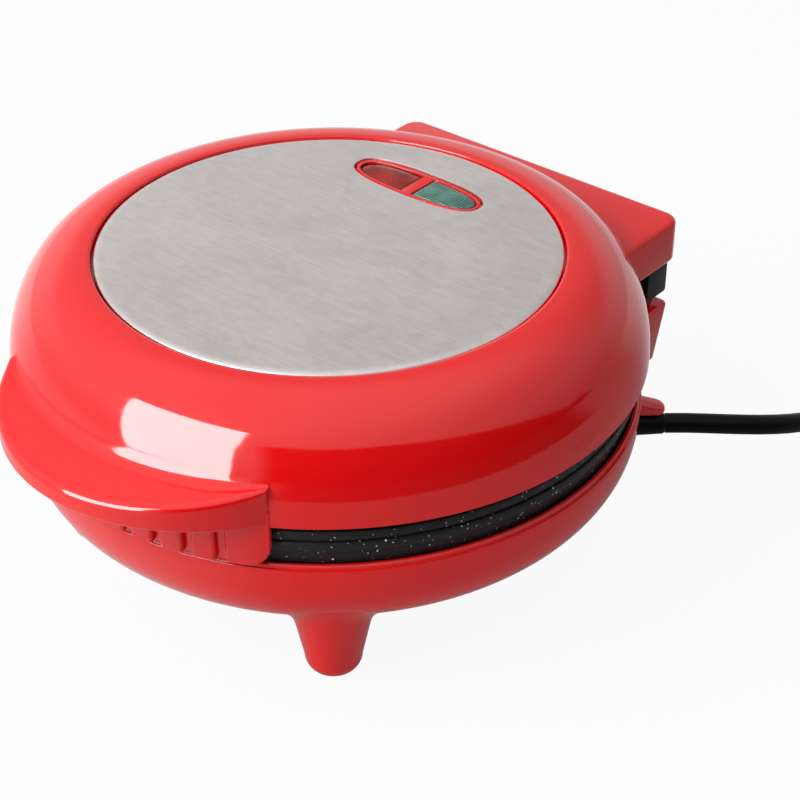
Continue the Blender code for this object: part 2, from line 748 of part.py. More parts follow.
def handle_solid():
    """The handle, thicker at its root than at its tip."""
    form = handle_form("handle_form", 0.0, LID_EDGE_Z, LID_EDGE_Z + HANDLE_TOP, HANDLE_LIP)
    return bevelled(form, HANDLE_EDGE_R, 3, 60.0)


def handle_room():
    """The hollow under the handle, where the fingers lift."""
    top = LID_EDGE_Z + HANDLE_TOP - HANDLE_WALL
    form = handle_form("handle_room", HANDLE_WALL, LID_EDGE_Z - OVERRUN, top, 0.0)
    keep = GRIP_OUT_R + GRIP_WALL / 2
    core = turned(
        "handle_core",
        [(0, LID_EDGE_Z - 2 * OVERRUN), (keep, LID_EDGE_Z - 2 * OVERRUN), (keep, LID_TOP_Z), (0, LID_TOP_Z)],
        HIDDEN_STEPS,
        at=AXIS_AT_FLOOR,
    )
    cut(form, core)
    return form


def grip_wall_bmesh():
    """The curved wall that hangs from the handle over the gap between the plates' rims."""
    inside = GRIP_OUT_R - GRIP_WALL
    low = RIM_Z + GRIP_GAP
    high = LID_EDGE_Z + 2 * HANDLE_LIP
    profile = [(inside, low), (GRIP_OUT_R, low), (GRIP_OUT_R, high), (inside, high)]
    steps = 22
    bm = turned_bmesh(profile, steps, 2 * GRIP_HALF_ANGLE, -math.pi / 2 - GRIP_HALF_ANGLE)
    corner = GRIP_CORNER_R / GRIP_OUT_R
    for vertex in bm.verts:
        off = abs(math.atan2(vertex.co.x, -vertex.co.y)) - (GRIP_HALF_ANGLE - corner)
        if off > 0 and vertex.co.z < low + FIT_GAP:
            share = min(1.0, off / corner)
            vertex.co.z += GRIP_CORNER_R * (1 - math.sqrt(1 - share * share))
    return bm


def groove_cutter(index):
    """One upright groove of the grip."""
    turn = (index - (GROOVE_COUNT - 1) / 2) * GROOVE_PITCH
    low = RIM_Z - OVERRUN
    high = LID_EDGE_Z + HANDLE_LIP / 3
    block = box(
        f"groove_form_{index + 1}",
        (GROOVE_W, 2 * GROOVE_DEPTH, high - low),
        polar(GRIP_OUT_R, turn - math.pi / 2, (low + high) / 2),
    )
    block.rotation_euler.z = turn
    return block


def hinge_box_solid():
    """The flat box behind the dome that covers the hinge."""
    front = AXIS_Y + BASE_FLAT_R
    back = AXIS_Y + HINGE_REACH
    corners = [(-HINGE_HALF_W, front), (HINGE_HALF_W, front), (HINGE_HALF_W, back), (-HINGE_HALF_W, back)]
    outline = rounded(corners, [0, 0, HINGE_CORNER_R, HINGE_CORNER_R])
    form = prism("hinge_box_form", outline, LID_EDGE_Z, LID_EDGE_Z + HINGE_BOX_TOP)
    return bevelled(form, HINGE_EDGE_R, 2, 60.0)


def hinge_socket(side):
    """The pocket in the hinge box that holds one black hinge block."""
    size = (KNUCKLE_W + 2 * FIT_GAP, 2 * (KNUCKLE_HALF_D + FIT_GAP), SOCKET_DEPTH + OVERRUN)
    centre = (side * KNUCKLE_X, HINGE_Y, LID_EDGE_Z + (SOCKET_DEPTH - OVERRUN) / 2)
    return box(f"socket_form_{side}", size, centre)


def fit_lid_posts(shell):
    """Hollow posts under the deck, with the screws' counterbores beneath the steel disc."""
    low = reflector_z(True) + REFLECTOR_T + REFLECTOR_RISE + FIT_GAP
    high = DECK_Z - DECK_T / 2
    head_low = DECK_Z - SCREW_HEAD_H - 2 * FIT_GAP
    for i, angle in enumerate(BOSS_ANGLES, 1):
        ends = (polar(BOSS_FROM_AXIS, angle, low), polar(BOSS_FROM_AXIS, angle, high))
        add(shell, rod(f"lid_post_form_{i}", POST_R, ends, steps=12))
    for i, angle in enumerate(BOSS_ANGLES, 1):
        over = polar(BOSS_FROM_AXIS, angle, DECK_Z + OVERRUN)
        cut(
            shell,
            rod(f"lid_post_bore_{i}", SCREW_HOLE_R, (polar(BOSS_FROM_AXIS, angle, low - OVERRUN), over)),
            rod(f"lid_counterbore_{i}", SCREW_HEAD_HOLE_R, (polar(BOSS_FROM_AXIS, angle, head_low), over)),
        )


def window_outline(half_l, half_w):
    """The indicator window's outline in plan, about its own centre on the lid."""
    centre = (WINDOW_X, AXIS_Y + WINDOW_FROM_AXIS)
    return oval(half_l, half_w, WINDOW_STEPS, centre, fullness=WINDOW_FULLNESS)


def window_side(side, inset, web):
    """One half of the window's opening, between its frame and the middle web."""
    half_l = WINDOW_HALF_L - inset
    half_w = WINDOW_HALF_W - inset
    limit = math.acos((web / 2 / half_l) ** (WINDOW_FULLNESS / 2))
    start = -limit if side > 0 else math.pi - limit
    centre = (WINDOW_X, AXIS_Y + WINDOW_FROM_AXIS)
    return oval(half_l, half_w, WINDOW_STEPS // 2, centre, start, 2 * limit, WINDOW_FULLNESS)


def lid_disc():
    """The steel disc on the lid, with its window."""
    low = DECK_Z + FIT_GAP
    high = low + DISC_T
    profile = [(0, low), (DISC_R, low), (DISC_R, high - DISC_EDGE_R)]
    profile += [(DISC_R - DISC_EDGE_R / 3, high - DISC_EDGE_R / 3), (DISC_R - DISC_EDGE_R, high), (0, high)]
    disc = turned("lid_disc", profile, ROUND_STEPS, "steel_brushed", AXIS_AT_FLOOR)
    opening = window_outline(WINDOW_HALF_L + TRIM_GAP, WINDOW_HALF_W + TRIM_GAP)
    cut(disc, prism("disc_window", opening, low - OVERRUN, high + OVERRUN))


def indicator_bezel():
    """The red frame round both lenses: its collar stands in the disc, its sleeve goes through the deck."""
    top = LID_TOP_Z + WINDOW_PROUD
    collar = DECK_Z + FIT_GAP
    bezel = prism("indicator_bezel", window_outline(WINDOW_HALF_L, WINDOW_HALF_W), collar, top, "red_gloss")
    sleeve_inset = WINDOW_FRAME_W / 2 + FIT_GAP
    sleeve = window_outline(WINDOW_HALF_L - sleeve_inset, WINDOW_HALF_W - sleeve_inset)
    add(bezel, prism("bezel_sleeve", sleeve, top - WINDOW_DEPTH, collar + FIT_GAP))
    for side in (-1, 1):
        hole = window_side(side, WINDOW_FRAME_W, WINDOW_WEB_W)
        cut(bezel, prism(f"bezel_hole_{side}", hole, top - WINDOW_DEPTH - OVERRUN, top + OVERRUN))


def lens(name, side, finish, ribs):
    """One lens between the frame and the web, with fine ribs across it where ribs is true."""
    top = LID_TOP_Z + WINDOW_PROUD - LENS_SINK
    outline = window_side(side, WINDOW_FRAME_W + FIT_GAP, WINDOW_WEB_W + 2 * FIT_GAP)
    form = prism(name, outline, top - LENS_T, top, finish)
    if not ribs:
        return
    span = WINDOW_HALF_L - WINDOW_FRAME_W - WINDOW_WEB_W / 2
    pitch = span / (LENS_RIB_COUNT + 1)
    for i in range(LENS_RIB_COUNT):
        place = (WINDOW_X + side * (WINDOW_WEB_W / 2 + pitch * (i + 1)), AXIS_Y + WINDOW_FROM_AXIS, top)
        size = (pitch / 2, 2 * WINDOW_HALF_W, 2 * LENS_RIB_H)
        cut(form, box(f"{name}_groove_{i + 1}", size, place))


def lamps():
    """Two neon lamps under the lenses, in a holder that hangs from the deck."""
    window_y = AXIS_Y + WINDOW_FROM_AXIS
    lamp_z = LID_TOP_Z + WINDOW_PROUD - WINDOW_DEPTH - FIT_GAP - LAMP_R
    for side, name in ((-1, "lamp_red"), (1, "lamp_green")):
        middle = WINDOW_X + side * LAMP_SPREAD
        ends = ((middle - LAMP_L / 2, window_y, lamp_z), (middle + LAMP_L / 2, window_y, lamp_z))
        rod(name, LAMP_R, ends, "lamp_glass", 14)
    high = lamp_z - LAMP_R - FIT_GAP
    low = high - LAMP_HOLDER_T
    half_l = LAMP_HOLDER_L / 2
    half_w = LAMP_HOLDER_W / 2
    reach = WINDOW_HALF_W + LAMP_HOLDER_LEG
    quarter = [(half_l, half_w), (half_w, half_w), (half_w, reach)]
    outline = [*quarter, *((-x, y) for x, y in quarter[::-1])]
    outline += [(x, -y) for x, y in outline[::-1]]
    holder = prism("lamp_holder", outline, low, high, "black_plastic", (WINDOW_X, window_y, 0))
    top = DECK_Z - DECK_T - FIT_GAP
    for side in (-1, 1):
        size = (LAMP_HOLDER_W * 0.8, LAMP_HOLDER_LEG * 0.8, top - (low + high) / 2)
        place = (WINDOW_X, window_y + side * (reach - LAMP_HOLDER_LEG / 2), (top + (low + high) / 2) / 2)
        add(holder, box(f"holder_leg_{side}", size, place))


def half_moon(side, grow, shrink=0.0):
    """A half-moon pan's outline, grown by its wall or drawn in by its draft."""
    change = grow - shrink
    radius = PAN_R + change
    flat = PAN_SPLIT / 2 - change
    corner = PAN_CORNER_R + change
    rim_angle = math.acos((flat + corner) / (radius - corner))
    points = oval(radius, radius, PAN_STEPS, (0, 0), -rim_angle, 2 * rim_angle)
    across = flat + corner
    up = math.sqrt((radius - corner) ** 2 - across**2)
    for sign in (1, -1):
        first = rim_angle if sign > 0 else math.pi
        last = math.pi if sign > 0 else 2 * math.pi - rim_angle
        for k in range(1, CORNER_STEPS + (sign > 0)):
            a = first + (last - first) * k / CORNER_STEPS
            points.append((across + corner * math.cos(a), sign * up + corner * math.sin(a)))
        if sign > 0:
            points.append((flat, -up))
    return [(side * x, y) for x, y in points]


def cast_plate(name, lid):
    """One non-stick plate: flange, skirt, two half-moon pans, and four bosses behind them."""
    away = 1 if lid else -1
    face = PARTING_Z + away * FIT_GAP / 2

    def back(depth):
        return face + away * depth

    rim_r = PLATE_R if lid else PLATE_FLANGE_R
    profile = [
        (0, face),
        (rim_r, face),
        (rim_r, back(PLATE_FLANGE_T)),
        (PLATE_SKIRT_R, back(PLATE_FLANGE_T)),
        (PLATE_SKIRT_R, back(PLATE_SKIRT_H)),
        (PLATE_SKIRT_R - PLATE_SKIRT_T, back(PLATE_SKIRT_H)),
        (PLATE_SKIRT_R - PLATE_SKIRT_T, back(PLATE_FLANGE_T)),
        (0, back(PLATE_FLANGE_T)),
    ]
    plate = turned(name, profile, ROUND_STEPS, "cast_coating", AXIS_AT_FLOOR)
    for side in (-1, 1):
        pan = prism(
            f"{name}_pan_{side}",
            half_moon(side, PAN_WALL),
            back(PLATE_FLANGE_T / 2),
            back(PAN_DEPTH + PAN_WALL),
            at=AXIS_AT_FLOOR,
            shrink=half_moon(side, PAN_WALL, PAN_DRAFT),
        )
        add(plate, pan)
    boss_top = reflector_z(lid) - away * FIT_GAP
    for i, angle in enumerate(BOSS_ANGLES, 1):
        ends = (polar(BOSS_FROM_AXIS, angle, back(PAN_DEPTH + PAN_WALL / 2)), polar(BOSS_FROM_AXIS, angle, boss_top))
        add(plate, rod(f"{name}_boss_{i}", BOSS_R, ends, steps=12))
    for side in (-1, 1):
        room = prism(
            f"{name}_room_{side}",
            half_moon(side, 0.0),
            back(-OVERRUN / 4),
            back(PAN_DEPTH),
            at=AXIS_AT_FLOOR,
            shrink=half_moon(side, 0.0, PAN_DRAFT),
        )
        cut(plate, room)
    for i, angle in enumerate(BOSS_ANGLES, 1):
        deep = boss_top - away * (SCREW_BITE + 2 * FIT_GAP)
        ends = (polar(BOSS_FROM_AXIS, angle, boss_top + away * OVERRUN), polar(BOSS_FROM_AXIS, angle, deep))
        cut(plate, rod(f"{name}_bore_{i}", SCREW_HOLE_R, ends))


def heating_element(name, lid):
    """The tubular heater: an open ring against the pans, its two ends turned away from the plate."""
    away = 1 if lid else -1
    z = PARTING_Z + away * (PAN_DEPTH + PAN_WALL + FIT_GAP * 2 + ELEMENT_TUBE_R)
    first = -math.pi / 2 + ELEMENT_OPEN_ANGLE if lid else math.pi / 2 + ELEMENT_OPEN_ANGLE
    span = 2 * (math.pi - ELEMENT_OPEN_ANGLE)
    ring = []
    for i in range(ELEMENT_STEPS + 1):
        ring.append(polar(ELEMENT_R, first + span * i / ELEMENT_STEPS, z))
    bend = 2 * ELEMENT_TUBE_R
    points = [*ring]
    for index, sign in ((0, -1), (-1, 1)):
        angle = first if index == 0 else first + span
        along = Vector((-math.sin(angle), math.cos(angle), 0)) * sign
        corner = ring[index] + along * bend
        tail = corner + along * bend / 2 + Vector((0, 0, away * bend / 2))
        end = tail + Vector((0, 0, away * (ELEMENT_TAIL - bend)))
        if index == 0:
            points = [end, tail, corner, *points]
        else:
            points += [corner, tail, end]
    tube(name, points, ELEMENT_TUBE_R, 2, "steel_plain")


def tube(name, points, radius, resolution, finish):
    """A round tube with closed ends along these points."""
    curve = bpy.data.curves.new(name, "CURVE")
    curve.dimensions = "3D"
    curve.bevel_depth = radius
    curve.bevel_resolution = resolution
    curve.use_fill_caps = True
    spline = curve.splines.new("POLY")
    spline.points.add(len(points) - 1)
    for point, place in zip(spline.points, points):
        point.co = (*place, 1)
    obj = bpy.data.objects.new(name, curve)
    bpy.context.collection.objects.link(obj)
    curve.materials.append(material(finish))
    return obj


def reflector(name, lid):
    """The bright dish behind the element, its rim raised towards the plate."""
    away = 1 if lid else -1
    face = reflector_z(lid)
    rise = away * REFLECTOR_RISE
    flat_r = REFLECTOR_R - REFLECTOR_RISE * 2
    thick = away * REFLECTOR_T
    profile = [(0, face), (flat_r, face), (REFLECTOR_R, face - rise), (REFLECTOR_R + REFLECTOR_T, face - rise)]
    profile += [(flat_r + REFLECTOR_T, face + thick), (0, face + thick)]
    dish = turned(name, profile, HIDDEN_STEPS, "aluminium", AXIS_AT_FLOOR)
    for i, angle in enumerate(BOSS_ANGLES, 1):
        ends = (polar(BOSS_FROM_AXIS, angle, face - OVERRUN / 2), polar(BOSS_FROM_AXIS, angle, face + OVERRUN / 2))
        cut(dish, rod(f"{name}_hole_{i}", SCREW_HOLE_R, ends))
    first = -math.pi / 2 + ELEMENT_OPEN_ANGLE if lid else math.pi / 2 + ELEMENT_OPEN_ANGLE
    for i, sign in enumerate((-1, 1), 1):
        angle = first if sign < 0 else first - 2 * ELEMENT_OPEN_ANGLE
        along = Vector((-math.sin(angle), math.cos(angle), 0)) * sign
        place = polar(ELEMENT_R, angle) + along * ELEMENT_TUBE_R * 3
        low, high = sorted((face - away * OVERRUN, face + away * OVERRUN))
        ends = (place + Vector((0, 0, low)), place + Vector((0, 0, high)))
        cut(dish, rod(f"{name}_tail_hole_{i}", ELEMENT_TUBE_R + TRIM_GAP, ends))


def screw(name, place, head_z, tip_z, sizes, finish="steel_plain"):
    """A pan-head screw from its head's outer face to its tip."""
    shank_r, head_r, head_h = sizes
    away = 1 if tip_z > head_z else -1
    under = head_z + away * head_h
    profile = [
        (0, head_z),
        (head_r * 0.7, head_z),
        (head_r, head_z + away * head_h / 2),
        (head_r, under),
        (shank_r, under),
        (shank_r, tip_z - away * shank_r),
        (0, tip_z),
    ]
    turned(name, profile, SCREW_STEPS, finish, Vector((place.x, place.y, 0)))


def plate_screws():
    sizes = (SCREW_R, SCREW_HEAD_R, SCREW_HEAD_H)
    for i, angle in enumerate(BOSS_ANGLES, 1):
        place = polar(BOSS_FROM_AXIS, angle)
        screw(f"base_screw_{i}", place, BASE_LOW_Z + SCREW_SINK, reflector_z(False) + SCREW_BITE - FIT_GAP, sizes)
        screw(f"lid_screw_{i}", place, DECK_Z - FIT_GAP, reflector_z(True) - SCREW_BITE + FIT_GAP, sizes)


def hinge_blocks():
    """The black forks under the hinge box, one on each ear, each with a blind bore for its pin."""
    top = LID_EDGE_Z + SOCKET_DEPTH - FIT_GAP
    low = HINGE_Z - KNUCKLE_BELOW
    half = KNUCKLE_HALF_D
    lean = half - KNUCKLE_CHAMFER
    profile = [(half, top), (-half, top), (-half, low + KNUCKLE_CHAMFER), (-lean, low), (lean, low)]
    profile = [(HINGE_Y + y, z) for y, z in [*profile, (half, low + KNUCKLE_CHAMFER)]]
    for side, name in ((-1, "hinge_block_left"), (1, "hinge_block_right")):
        block = across_prism(name, profile, side * KNUCKLE_X, KNUCKLE_W, "black_plastic")
        under = low - OVERRUN
        web = HINGE_Z + FORK_WEB_RISE
        slot_size = (EAR_T + 2 * EAR_SIDE_GAP, 2 * (half + OVERRUN), web - under)
        cut(block, box(f"{name}_slot", slot_size, (side * KNUCKLE_X, HINGE_Y, (under + web) / 2)))
        cut(block, rod(f"{name}_bore", PIN_HOLE_R, pin_ends(side, OVERRUN, 0.0), steps=16))


def pin_ends(side, inwards, outwards):
    """Both ends of a hinge pin's way, past the fork's inner cheek and up to the skin of the outer one."""
    near = KNUCKLE_OUT_X - KNUCKLE_W - inwards
    far = KNUCKLE_OUT_X - PIN_SKIN + outwards
    return (side * near, HINGE_Y, HINGE_Z), (side * far, HINGE_Y, HINGE_Z)


def hinge_pins():
    for side, name in ((-1, "hinge_pin_left"), (1, "hinge_pin_right")):
        rod(name, PIN_R, pin_ends(side, -FIT_GAP, -FIT_GAP), "steel_plain", 16)


def electrical_pieces():
    """Thermostat and fuse behind the lower plate, and the terminal block on the floor of the bowl."""
    pan_back = PARTING_Z - FIT_GAP / 2 - PAN_DEPTH - PAN_WALL - FIT_GAP
    cap = THERMOSTAT_R * 0.6
    profile = [
        (0, pan_back - THERMOSTAT_H),
        (cap, pan_back - THERMOSTAT_H),
        (cap, pan_back - THERMOSTAT_H / 2),
        (THERMOSTAT_R, pan_back - THERMOSTAT_H / 2),
        (THERMOSTAT_R, pan_back),
        (0, pan_back),
    ]
    turned("thermostat", profile, LEG_STEPS, "ceramic", Vector((THERMOSTAT_X, AXIS_Y, 0)))
    fuse_z = pan_back - FUSE_R
    ends = ((FUSE_X, AXIS_Y - FUSE_L / 2, fuse_z), (FUSE_X, AXIS_Y + FUSE_L / 2, fuse_z))
    rod("thermal_fuse", FUSE_R, ends, "ceramic", 12)
    seat_z = terminal_z()
    block = box(
        "terminal_block",
        (TERMINAL_W, TERMINAL_L, TERMINAL_H),
        along_exit(TERMINAL_FROM_AXIS, seat_z + TERMINAL_H / 2),
        "ceramic",
    )
    block.rotation_euler.z = EXIT_ANGLE
    pitch = TERMINAL_L / TERMINAL_POLES
    for i in range(TERMINAL_POLES):
        off = (i - (TERMINAL_POLES - 1) / 2) * pitch
        top = along_exit(TERMINAL_FROM_AXIS, seat_z + TERMINAL_H + OVERRUN, off)
        well = along_exit(TERMINAL_FROM_AXIS, seat_z + TERMINAL_H / 2, off)
        cut(block, rod(f"terminal_well_{i + 1}", pitch / 4, (well, top), steps=12))


def bowl_rise(radius):
    """How far the bowl's inner floor has risen at this radius."""
    flat = BASE_FLAT_R - SHELL_WALL
    span = BASE_RIM_R - SHELL_WALL - flat
    across = min(1.0, max(0.0, (radius - flat) / span))
    height = BASE_DEPTH - RIM_LIP_H - SHELL_WALL
    return height * (1 - (1 - across**BASE_FULLNESS) ** (1 / BASE_FULLNESS))


def terminal_z():
    """The terminal block's underside: just clear of the bowl at the block's outer corners."""
    corner = math.hypot(TERMINAL_FROM_AXIS + TERMINAL_W / 2, TERMINAL_L / 2)
    return FLOOR_IN_Z + bowl_rise(corner) + TRIM_GAP


def cord_clamp():
    """The bar over the strain relief and its two screws."""
    low = EXIT_Z + FIT_GAP
    high = low + CLAMP_H
    size = (CLAMP_W, CLAMP_L, CLAMP_H)
    clamp = box("cord_clamp", size, along_exit(CLAMP_FROM_AXIS, (low + high) / 2), "black_plastic")
    clamp.rotation_euler.z = EXIT_ANGLE
    reach = CLAMP_W / 2 + OVERRUN
    groove = (along_exit(CLAMP_FROM_AXIS - reach), along_exit(CLAMP_FROM_AXIS + reach))
    cut(clamp, rod("clamp_groove", RELIEF_BACK_R + FIT_GAP, groove, steps=20))
    sizes = (CLAMP_SCREW_R, CLAMP_SCREW_HEAD_R, CLAMP_SCREW_HEAD_H)
    for i, point in enumerate(clamp_points(), 1):
        ends = (point - Vector((0, 0, OVERRUN)), point + Vector((0, 0, CLAMP_H + OVERRUN)))
        cut(clamp, rod(f"clamp_bore_{i}", CLAMP_SCREW_HOLE_R, ends))
        head = high + FIT_GAP + CLAMP_SCREW_HEAD_H
        screw(f"clamp_screw_{i}", point, head, EXIT_Z - CLAMP_SCREW_BITE, sizes)


def strain_relief():
    """The tapered rubber sleeve that the cord comes out of, with a flange inside the wall."""
    flange = CLAMP_FROM_AXIS - CLAMP_W / 2 - TRIM_GAP
    length = RELIEF_OUT_FROM_AXIS - RELIEF_IN_FROM_AXIS
    back = flange - RELIEF_IN_FROM_AXIS
    profile = [
        (0, 0),
        (RELIEF_FLANGE_R, 0),
        (RELIEF_FLANGE_R, min(RELIEF_FLANGE_T, back)),
        (RELIEF_BACK_R, min(RELIEF_FLANGE_T, back)),
        (RELIEF_BACK_R, length * 0.6),
        (RELIEF_TIP_R, length - FIT_GAP),
        (RELIEF_TIP_R - FIT_GAP, length),
        (0, length),
    ]
    relief = turned("strain_relief", profile, 20, "black_rubber", along_exit(RELIEF_IN_FROM_AXIS))
    relief.rotation_euler = EXIT_DIR.to_track_quat("Z", "Y").to_euler()


def smooth_route(points, step):
    """Even points on the smooth curve through these points."""
    points = [Vector(p) for p in points]
    ends = [2 * points[0] - points[1], *points, 2 * points[-1] - points[-2]]
    fine = []
    for i in range(1, len(ends) - 2):
        p0, p1, p2, p3 = ends[i - 1 : i + 3]
        for k in range(20):
            t = k / 20
            fine.append(
                (
                    2 * p1
                    + (p2 - p0) * t
                    + (2 * p0 - 5 * p1 + 4 * p2 - p3) * t**2
                    + (3 * p1 - p0 - 3 * p2 + p3) * t**3
                )
                / 2
            )
    fine.append(points[-1])
    runs = [0.0]
    for a, b in zip(fine, fine[1:]):
        runs.append(runs[-1] + (b - a).length)
    count = max(2, round(runs[-1] / step))
    even = []
    k = 0
    for i in range(count + 1):
        target = runs[-1] * i / count
        while k < len(runs) - 2 and runs[k + 1] < target:
            k += 1
        share = (target - runs[k]) / (runs[k + 1] - runs[k])
        even.append(fine[k].lerp(fine[k + 1], share))
    return even


def coil_points():
    """The coil's centre line: in along the lower layer, up in the half turn where it turns back, and out."""
    total = COIL_TURNS * 2 * math.pi
    steps = round(COIL_TURNS * COIL_TURN_STEPS)
    middle = total / 2
    points = []
    for i in range(steps + 1):
        turned_by = total * i / steps
        inward = (middle - abs(turned_by - middle)) / (2 * math.pi)
        radius = COIL_OUT_R - COIL_PITCH * inward
        climb = min(1.0, max(0.0, (turned_by - middle) / math.pi + 0.5))
        climb = climb * climb * (3 - 2 * climb)
        angle = COIL_START - turned_by
        points.append(
            Vector(
                (
                    COIL_X + radius * math.cos(angle),
                    COIL_Y + radius * math.sin(angle),
                    CORD_R + COIL_LAYER * climb,
                )
            )
        )
    lead = points[0] + Vector((math.sin(-COIL_START), math.cos(COIL_START), 0)) * CORD_D
    last = COIL_START - total
    way = Vector((math.sin(last), -math.cos(last), 0))
    count = round(COIL_TAIL / CORD_D)
    tail = [points[-1] + way * COIL_TAIL * (i + 1) / count for i in range(count)]
    return [lead, *points, *tail]


def least_self_gap(points):
    """The least clear distance between one turn of the tube and another."""
    near = COIL_TURN_STEPS // 3
    least = math.inf
    for i, a in enumerate(points):
        for j in range(i + near, len(points) - 1):
            b, c = points[j], points[j + 1]
            share = max(0.0, min(1.0, (a - b).dot(c - b) / (c - b).length_squared))
            least = min(least, (a - b.lerp(c, share)).length)
    return least - CORD_D


def cord():
    """The free stretch, the coil of what isn't in use, and the plug at its end."""
    coil = coil_points()
    tube("cord_coil", coil, CORD_R, 1, "black_rubber")
    into = (coil[1] - coil[0]).normalized()
    last = coil[0] - into * CORD_JOIN_GAP
    start = along_exit(RELIEF_OUT_FROM_AXIS + CORD_JOIN_GAP)
    straight = (start, start + EXIT_DIR * CORD_D), (last - into * CORD_D, last)
    between = smooth_route([*straight[0], *CORD_ROUTE, *straight[1]], CORD_STEP_IN_DIAMETERS * CORD_D)
    clear = 1.6 * CORD_D
    between = [p for p in between if (p - start).length > clear and (p - last).length > clear]
    free = [*straight[0], *between, *straight[1]]
    tube("cord_free", free, CORD_R, CORD_SIDES_RESOLUTION, "black_rubber")
    plug(coil[-1], (coil[-1] - coil[-2]).normalized())
    length = sum((b - a).length for a, b in zip(free, free[1:]))
    length += sum((b - a).length for a, b in zip(coil, coil[1:]))
    print(f"cord length {length:.4f} m, least gap of the coil to itself {1000 * least_self_gap(coil):.2f} mm")


def plug(end, way):
    """The moulded plug at the coil's end, lying on its flat side, with two round pins."""
    neck = PLUG_NECK_L
    length = PLUG_NECK_L + PLUG_BODY_L
    profile = [
        (0, 0),
        (PLUG_NECK_R, 0),
        (PLUG_NECK_R, neck * 0.4),
        (PLUG_R * 0.8, neck),
        (PLUG_R, neck + PLUG_ROUND_R),
        (PLUG_R, length - PLUG_ROUND_R),
        (PLUG_R - PLUG_ROUND_R / 3, length - PLUG_ROUND_R / 3),
        (PLUG_R - PLUG_ROUND_R, length),
        (0, length),
    ]
    bm = turned_bmesh(profile, PLUG_STEPS)
    wide = PLUG_HALF_W / PLUG_R
    for vertex in bm.verts:
        share = min(1.0, max(0.0, (vertex.co.z / neck - 0.4) / 0.6))
        vertex.co.x *= 1 + (wide - 1) * share
    body = put("plug_body", mesh_of("plug_body", bm), "black_rubber", end + way * CORD_JOIN_GAP)
    side = Vector((-way.y, way.x, 0))
    frame = Matrix((side, Vector((0, 0, 1)), way)).transposed()
    body.rotation_euler = frame.to_euler()
    for i, sign in enumerate((-1, 1), 1):
        off = end + side * sign * PLUG_PIN_SPREAD
        face = off + way * (length + CORD_JOIN_GAP)
        start = face - way * (PLUG_PIN_SINK - FIT_GAP)
        hole = rod(f"pin_hole_{i}", PLUG_PIN_R + FIT_GAP, (face - way * PLUG_PIN_SINK, face + way * OVERRUN), steps=14)
        cut(body, hole)
        rod(f"plug_pin_{i}", PLUG_PIN_R, (start, face + way * PLUG_PIN_L), "brass")


def main():
    for obj in list(bpy.data.objects):
        bpy.data.objects.remove(obj, do_unlink=True)
    base_shell()
    foot_pads()
    lid_shell()
    lid_disc()
    indicator_bezel()
    lens("lens_red", -1, "red_lens", False)
    lens("lens_green", 1, "green_lens", True)
    lamps()
    cast_plate("lower_plate", False)
    cast_plate("upper_plate", True)
    heating_element("lower_element", False)
    heating_element("upper_element", True)
    reflector("lower_reflector", False)
    reflector("upper_reflector", True)
    plate_screws()
    hinge_blocks()
    hinge_pins()
    electrical_pieces()
    cord_clamp()
    strain_relief()
    cord()


main()
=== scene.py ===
"""Dresses the omelette maker: glossy red shells, brushed steel disc, speckled plates, lamps and cord."""

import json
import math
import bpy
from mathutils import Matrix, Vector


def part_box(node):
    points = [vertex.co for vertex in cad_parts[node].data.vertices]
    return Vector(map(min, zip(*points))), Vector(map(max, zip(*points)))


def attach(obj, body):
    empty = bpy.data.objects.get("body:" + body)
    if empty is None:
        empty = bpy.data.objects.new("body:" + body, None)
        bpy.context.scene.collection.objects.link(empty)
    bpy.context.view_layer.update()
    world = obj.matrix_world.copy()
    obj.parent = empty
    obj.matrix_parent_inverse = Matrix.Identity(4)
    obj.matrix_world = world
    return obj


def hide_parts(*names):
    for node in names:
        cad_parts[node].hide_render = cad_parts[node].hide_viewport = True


bl_info = {
    "name": "Omelette Maker",
    "version": (1, 0, 0),
    "blender": (4, 5, 0),
    "location": "3D View > Sidebar > Cooker",
    "description": "Builds a round red omelette maker with its hinged lid, cast plates and mains cord",
    "category": "Add Mesh",
}

import bmesh
import bpy
import numpy as np
from mathutils import Matrix, Vector

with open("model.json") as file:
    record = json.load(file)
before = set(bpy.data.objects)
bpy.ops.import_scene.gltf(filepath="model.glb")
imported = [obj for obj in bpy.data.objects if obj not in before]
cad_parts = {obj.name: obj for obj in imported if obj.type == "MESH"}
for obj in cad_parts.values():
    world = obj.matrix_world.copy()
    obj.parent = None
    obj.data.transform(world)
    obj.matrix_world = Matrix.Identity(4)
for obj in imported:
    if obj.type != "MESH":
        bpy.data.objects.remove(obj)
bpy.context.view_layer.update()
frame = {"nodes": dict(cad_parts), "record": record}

# Measures of the solids that the pieces are built on.
DISC_LOW, DISC_HIGH = (Vector(corner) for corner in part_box("lid_disc"))
LID_TOP_Z = DISC_HIGH.z
MIDDLE_Y = (DISC_LOW.y + DISC_HIGH.y) / 2
MIDDLE = Vector((0, MIDDLE_Y, 0))
DISC_R = (DISC_HIGH.x - DISC_LOW.x) / 2
BODY_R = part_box("lid_shell")[1][0]
HINGE = frame["record"]["behaviour"]["joints"][0]["pos_m"]


# ---- sizes and colours that a user would change -------------------------------------------------


def metres(name, default, description, low=0.0, high=1.0):
    return bpy.props.FloatProperty(
        name=name, default=default, description=description, min=low, max=high, unit="LENGTH", precision=4
    )


def number(name, default, description, low=0.0, high=100.0):
    return bpy.props.FloatProperty(name=name, default=default, description=description, min=low, max=high)


def degrees(name, default, description):
    return bpy.props.FloatProperty(
        name=name, default=math.radians(default), description=description, subtype="ANGLE"
    )


def colour(name, default, description):
    return bpy.props.FloatVectorProperty(
        name=name, default=default, description=description, subtype="COLOR", size=3, min=0.0, max=1.0
    )


